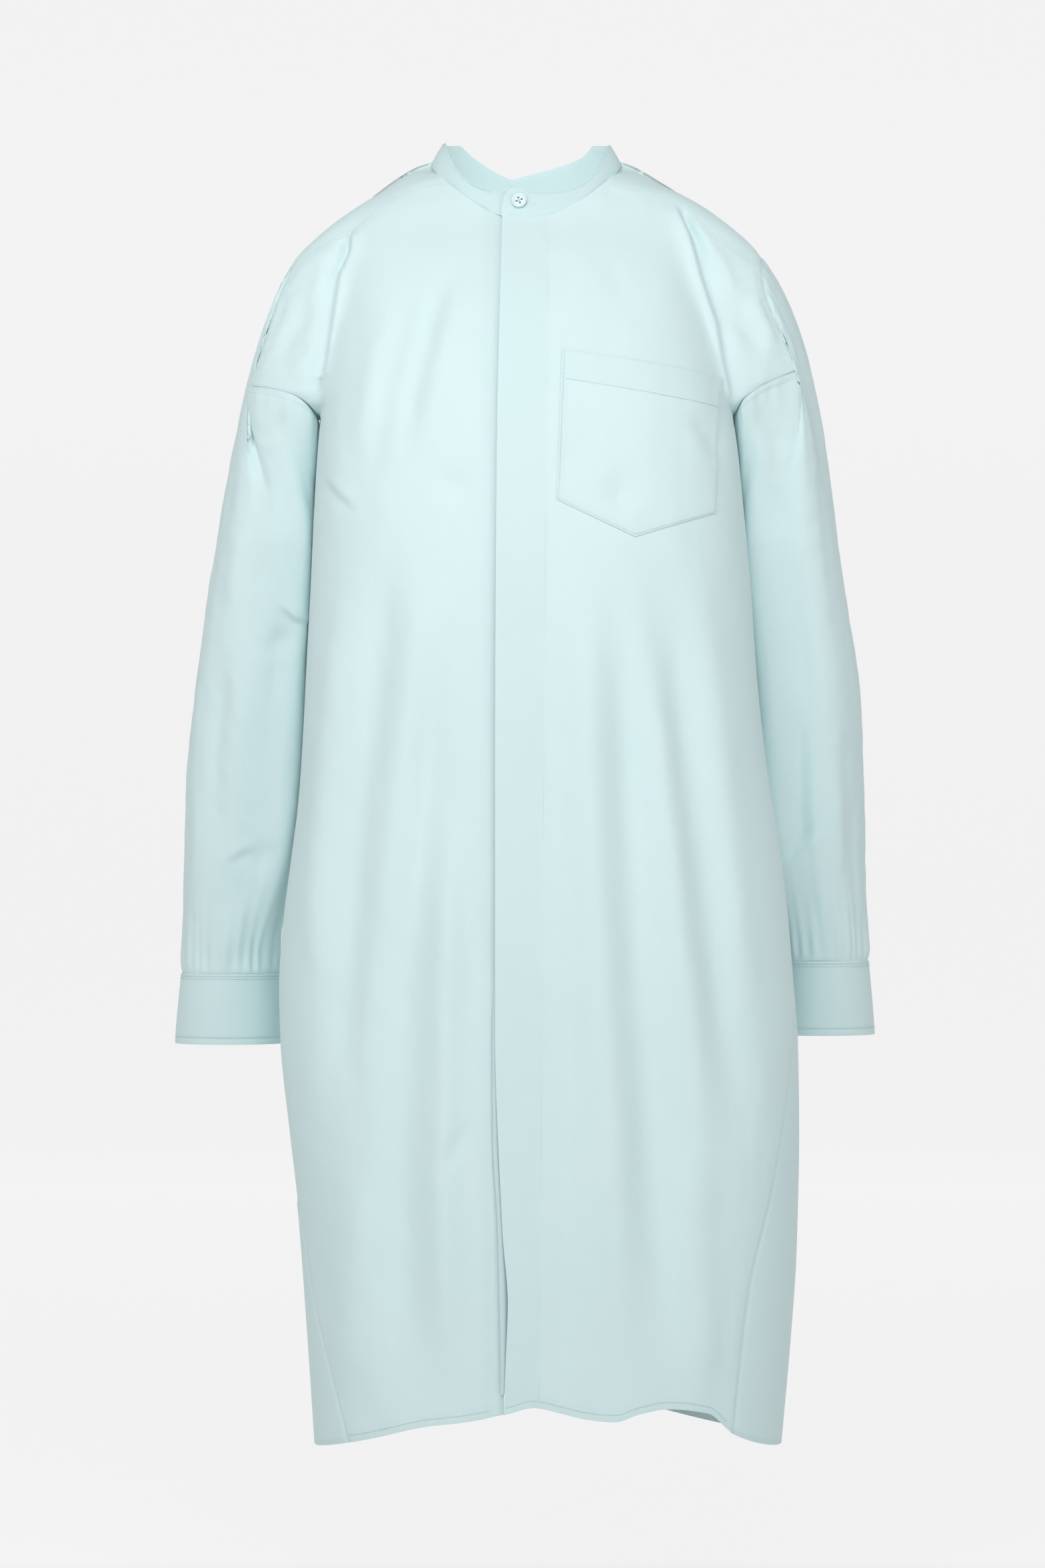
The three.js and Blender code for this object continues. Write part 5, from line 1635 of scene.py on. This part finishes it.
# ---------------------------------------------------------------- the studio
@dataclass
class Studio:
    """A plain pale floor that sweeps up behind, soft lights and the camera, in metres.

    Attributes:
        floor_z: The floor's height.
        wall_y: How far behind the gown the backdrop stands.
        bend: The radius of the sweep between the floor and the backdrop.
        pale: The paper's colour behind the gown, where it is lit from within.
        plain: The floor's colour in front.
        glow: How brightly the paper is lit.
    """

    floor_z: float = -1.12
    wall_y: float = 7.0
    bend: float = 1.6
    pale: Colour = (0.30, 0.30, 0.30, 1)
    plain: Colour = (0.78, 0.78, 0.78, 1)
    glow: float = 2.33

    def build_sweep(self) -> None:
        """Makes the floor and backdrop as one curved sheet."""
        start = self.wall_y - self.bend
        arc = [math.radians(7.5 * k) for k in range(1, 13)]
        profile = [(-3.0, self.floor_z), (start, self.floor_z)]
        profile += [(start + self.bend * math.sin(a), self.floor_z + self.bend * (1 - math.cos(a))) for a in arc]
        profile.append((self.wall_y, 7.0))
        verts = [(x, y * 1000, z * 1000) for y, z in profile for x in (-9000.0, 9000.0)]
        faces = [(2 * i, 2 * i + 1, 2 * i + 3, 2 * i + 2) for i in range(len(profile) - 1)]
        sweep = set_mesh("studio_sweep", np.array(verts), faces)
        paint = Paint("pale_paper", Roughness=0.95, Specular_IOR_Level=0.1)
        paint.shader.inputs["Emission Strength"].default_value = self.glow
        fibre = paint.noise(paint.place((40, 40, 40)))
        behind = (paint.axes(paint.place((1, 1, 1)))[1] + 0.2) * 1.25
        colour = paint.mixed(behind, paint.mixed(0.04 * fibre, self.plain, self.pale), self.pale)
        shine = paint.mixed(behind, (0, 0, 0, 1), self.pale)
        sweep.data.materials.append(paint.wear(Base_Color=colour, Emission_Color=shine))

    def build_lights(self) -> None:
        """Makes the even sky, three soft lights in front and a small one inside the neck."""
        world = bpy.data.worlds.new("soft_room")
        bpy.context.scene.world = world
        world.use_nodes = True
        sky = world.node_tree.nodes["Background"]
        sky.inputs["Color"].default_value = (1, 1, 1, 1)
        sky.inputs["Strength"].default_value = 0.45
        chest, nape = Vector((0, 0, -0.15)), Vector((0, 0.06, 0.03))
        for name, place, aim, size, energy in (
            ("key_softbox", (-0.15, -1.4, 0.60), chest, 0.9, 11.5),
            ("right_softbox", (2.1, -2.6, -0.6), chest, 2.0, 21.0),
            ("left_softbox", (-2.1, -2.6, -0.6), chest, 2.0, 22.0),
            ("neck_lamp", (0.0, -0.03, -0.035), nape, 0.07, 0.06),
        ):
            lamp = bpy.data.lights.new(name, "AREA")
            lamp.shape, lamp.size, lamp.energy = "SQUARE", size, energy
            made = bpy.data.objects.new(name, lamp)
            made.location = place
            made.rotation_euler = (aim - Vector(place)).to_track_quat("-Z", "Y").to_euler()
            made.visible_camera = False
            bpy.context.scene.collection.objects.link(made)

    def build_camera(self) -> None:
        """Makes the camera, level with the gown's middle."""
        lens = bpy.data.cameras.new("camera")
        lens.lens, lens.sensor_width = 135.0, 36.0
        lens.clip_end = 50.0
        camera = bpy.data.objects.new("camera", lens)
        camera.location = (-0.003, -4.56, -0.438)
        camera.rotation_euler = (math.pi / 2, 0, 0)
        bpy.context.scene.collection.objects.link(camera)
        bpy.context.scene.camera = camera

    def build(self) -> None:
        """Makes the whole studio."""
        self.build_sweep()
        self.build_lights()
        self.build_camera()
        bpy.context.scene.view_settings.view_transform = "Standard"


# ---------------------------------------------------------------- the gown
LEFT_SLEEVE_FOLDS = (
    Fold(V, ((182, -160), (200, -250), (214, -360), (217, -430)), 9, 3.6, 0.3),
    Fold(V, ((208, -372), (212, -430), (214, -505)), 7, 4.0, 0.3),
    Fold(S, ((228, -470), (214, -486), (200, -506)), 7, 3.0, 0.4),
    Fold(R, ((226, -300), (238, -400), (244, -520)), 12, 2.4, 0.3),
    Fold(V, ((176, -140), (190, -170), (206, -186)), 7, 2.4, 0.4),
    Fold(R, ((170, -160), (184, -190), (200, -230)), 8, 2.2, 0.4),
    Fold(V, ((246, -380), (252, -470), (254, -556)), 9, 2.2, 0.3),
)
RIGHT_SLEEVE_FOLDS = (
    Fold(S, ((-192, -298), (-180, -310), (-164, -316)), 8, 3.0, 0.4),
    Fold(V, ((-208, -344), (-190, -328), (-168, -318)), 9, 2.6, 0.4),
    Fold(V, ((-196, -300), (-190, -330), (-196, -380)), 8, 1.8, 0.4),
    Fold(V, ((-206, -170), (-212, -260), (-218, -360)), 12, 2.6, 0.3),
    Fold(V, ((-214, -512), (-204, -496), (-196, -480)), 8, 2.2, 0.4),
    Fold(S, ((-236, -502), (-222, -492), (-206, -488)), 8, 1.8, 0.4),
    Fold(V, ((-236, -330), (-244, -430), (-240, -500)), 11, 2.6, 0.3),
    Fold(R, ((-190, -160), (-196, -220), (-200, -280)), 9, 2.0, 0.4),
    Fold(V, ((-180, -150), (-194, -168), (-208, -176)), 6, 2.0, 0.4),
    Fold(R, ((-220, -520), (-226, -556), (-232, -580)), 9, 2.6, 0.4),
)
SLEEVE_BACK_FOLDS = (
    Fold(V, ((182, -180), (204, -300), (222, -460)), 12, 3.4, 0.3),
    Fold(S, ((190, -316), (214, -330), (240, -326)), 8, 3.0, 0.4),
    Fold(R, ((216, -220), (232, -360), (240, -500)), 12, 2.6, 0.3),
)


def mirrored(folds: Sequence[Fold]) -> tuple[Fold, ...]:
    """The same folds on the other side of the gown."""
    return tuple(replace(fold, spine=tuple((-x, z) for x, z in fold.spine)) for fold in folds)


def sew_buttons(finishes: Wardrobe, body: GownBody, band: NeckBand) -> None:
    """Sews on the neck button, the six inside the fly and the two on the cuffs."""
    maker = ShirtButton(finishes)
    button = maker.button_mesh()
    short, long = maker.thread_mesh(1.6), maker.thread_mesh(3.0)
    for i, z in enumerate(body.button_heights()):
        place, normal = body.face(True, np.array([body.button_x]), np.array([z]), -4.3)
        maker.sew(f"fly_button_{i + 1}", place[0], normal[0], "torso", button, short)
    angle = np.array([math.acos(-5.6 / band.half_x)])
    place = band.point(angle, np.array([0.53]), 1.6)
    maker.sew("neck_button", place[0], (-0.0743, -0.9552, 0.2866), "neck_button", button, long)
    for side, sign in (("left", 1), ("right", -1)):
        seat = (sign * 229.6, 55 + 38 + 4.4, -606.5)
        maker.sew(side + "_cuff_button", seat, (0, 1, 0), side + "_cuff_button", button, long)


def main() -> None:
    """Builds the studio and every piece of the gown, in order."""
    logging.basicConfig(level=logging.INFO, format="%(name)s %(message)s")
    Studio().build()
    finishes = Wardrobe(Shirting().material(), Resin().material(), Thread().material())
    body = GownBody(finishes)
    body.build()
    band = NeckBand(finishes)
    band.build()
    sew_buttons(finishes, body, band)
    Sleeve(
        finishes, True,
        outer=(
            (-157, 226), (-185, 231), (-252, 243), (-308, 252), (-368, 260.5), (-430, 263.5), (-521, 266),
            (-577, 268), (-640, 270),
        ),
        inner=((-157, 160), (-252, 165), (-366, 175), (-493, 184), (-577, 193), (-640, 193)),
        cuff_top=-576.0, cuff_end=-634.0, lead=0.66, seed=41,
        folds=LEFT_SLEEVE_FOLDS, back_folds=SLEEVE_BACK_FOLDS,
    ).build()
    Sleeve(
        finishes, False,
        outer=(
            (-157, 223), (-185, 229), (-252, 241), (-308, 251), (-368, 259.5), (-430, 266), (-521, 268),
            (-583, 270), (-640, 271),
        ),
        inner=((-157, 160), (-252, 163), (-366, 171), (-493, 181), (-577, 193), (-640, 193)),
        cuff_top=-586.0, cuff_end=-641.0, lead=0.42, seed=51,
        folds=RIGHT_SLEEVE_FOLDS, back_folds=mirrored(SLEEVE_BACK_FOLDS),
    ).build()


if __name__ == "__main__":
    main()
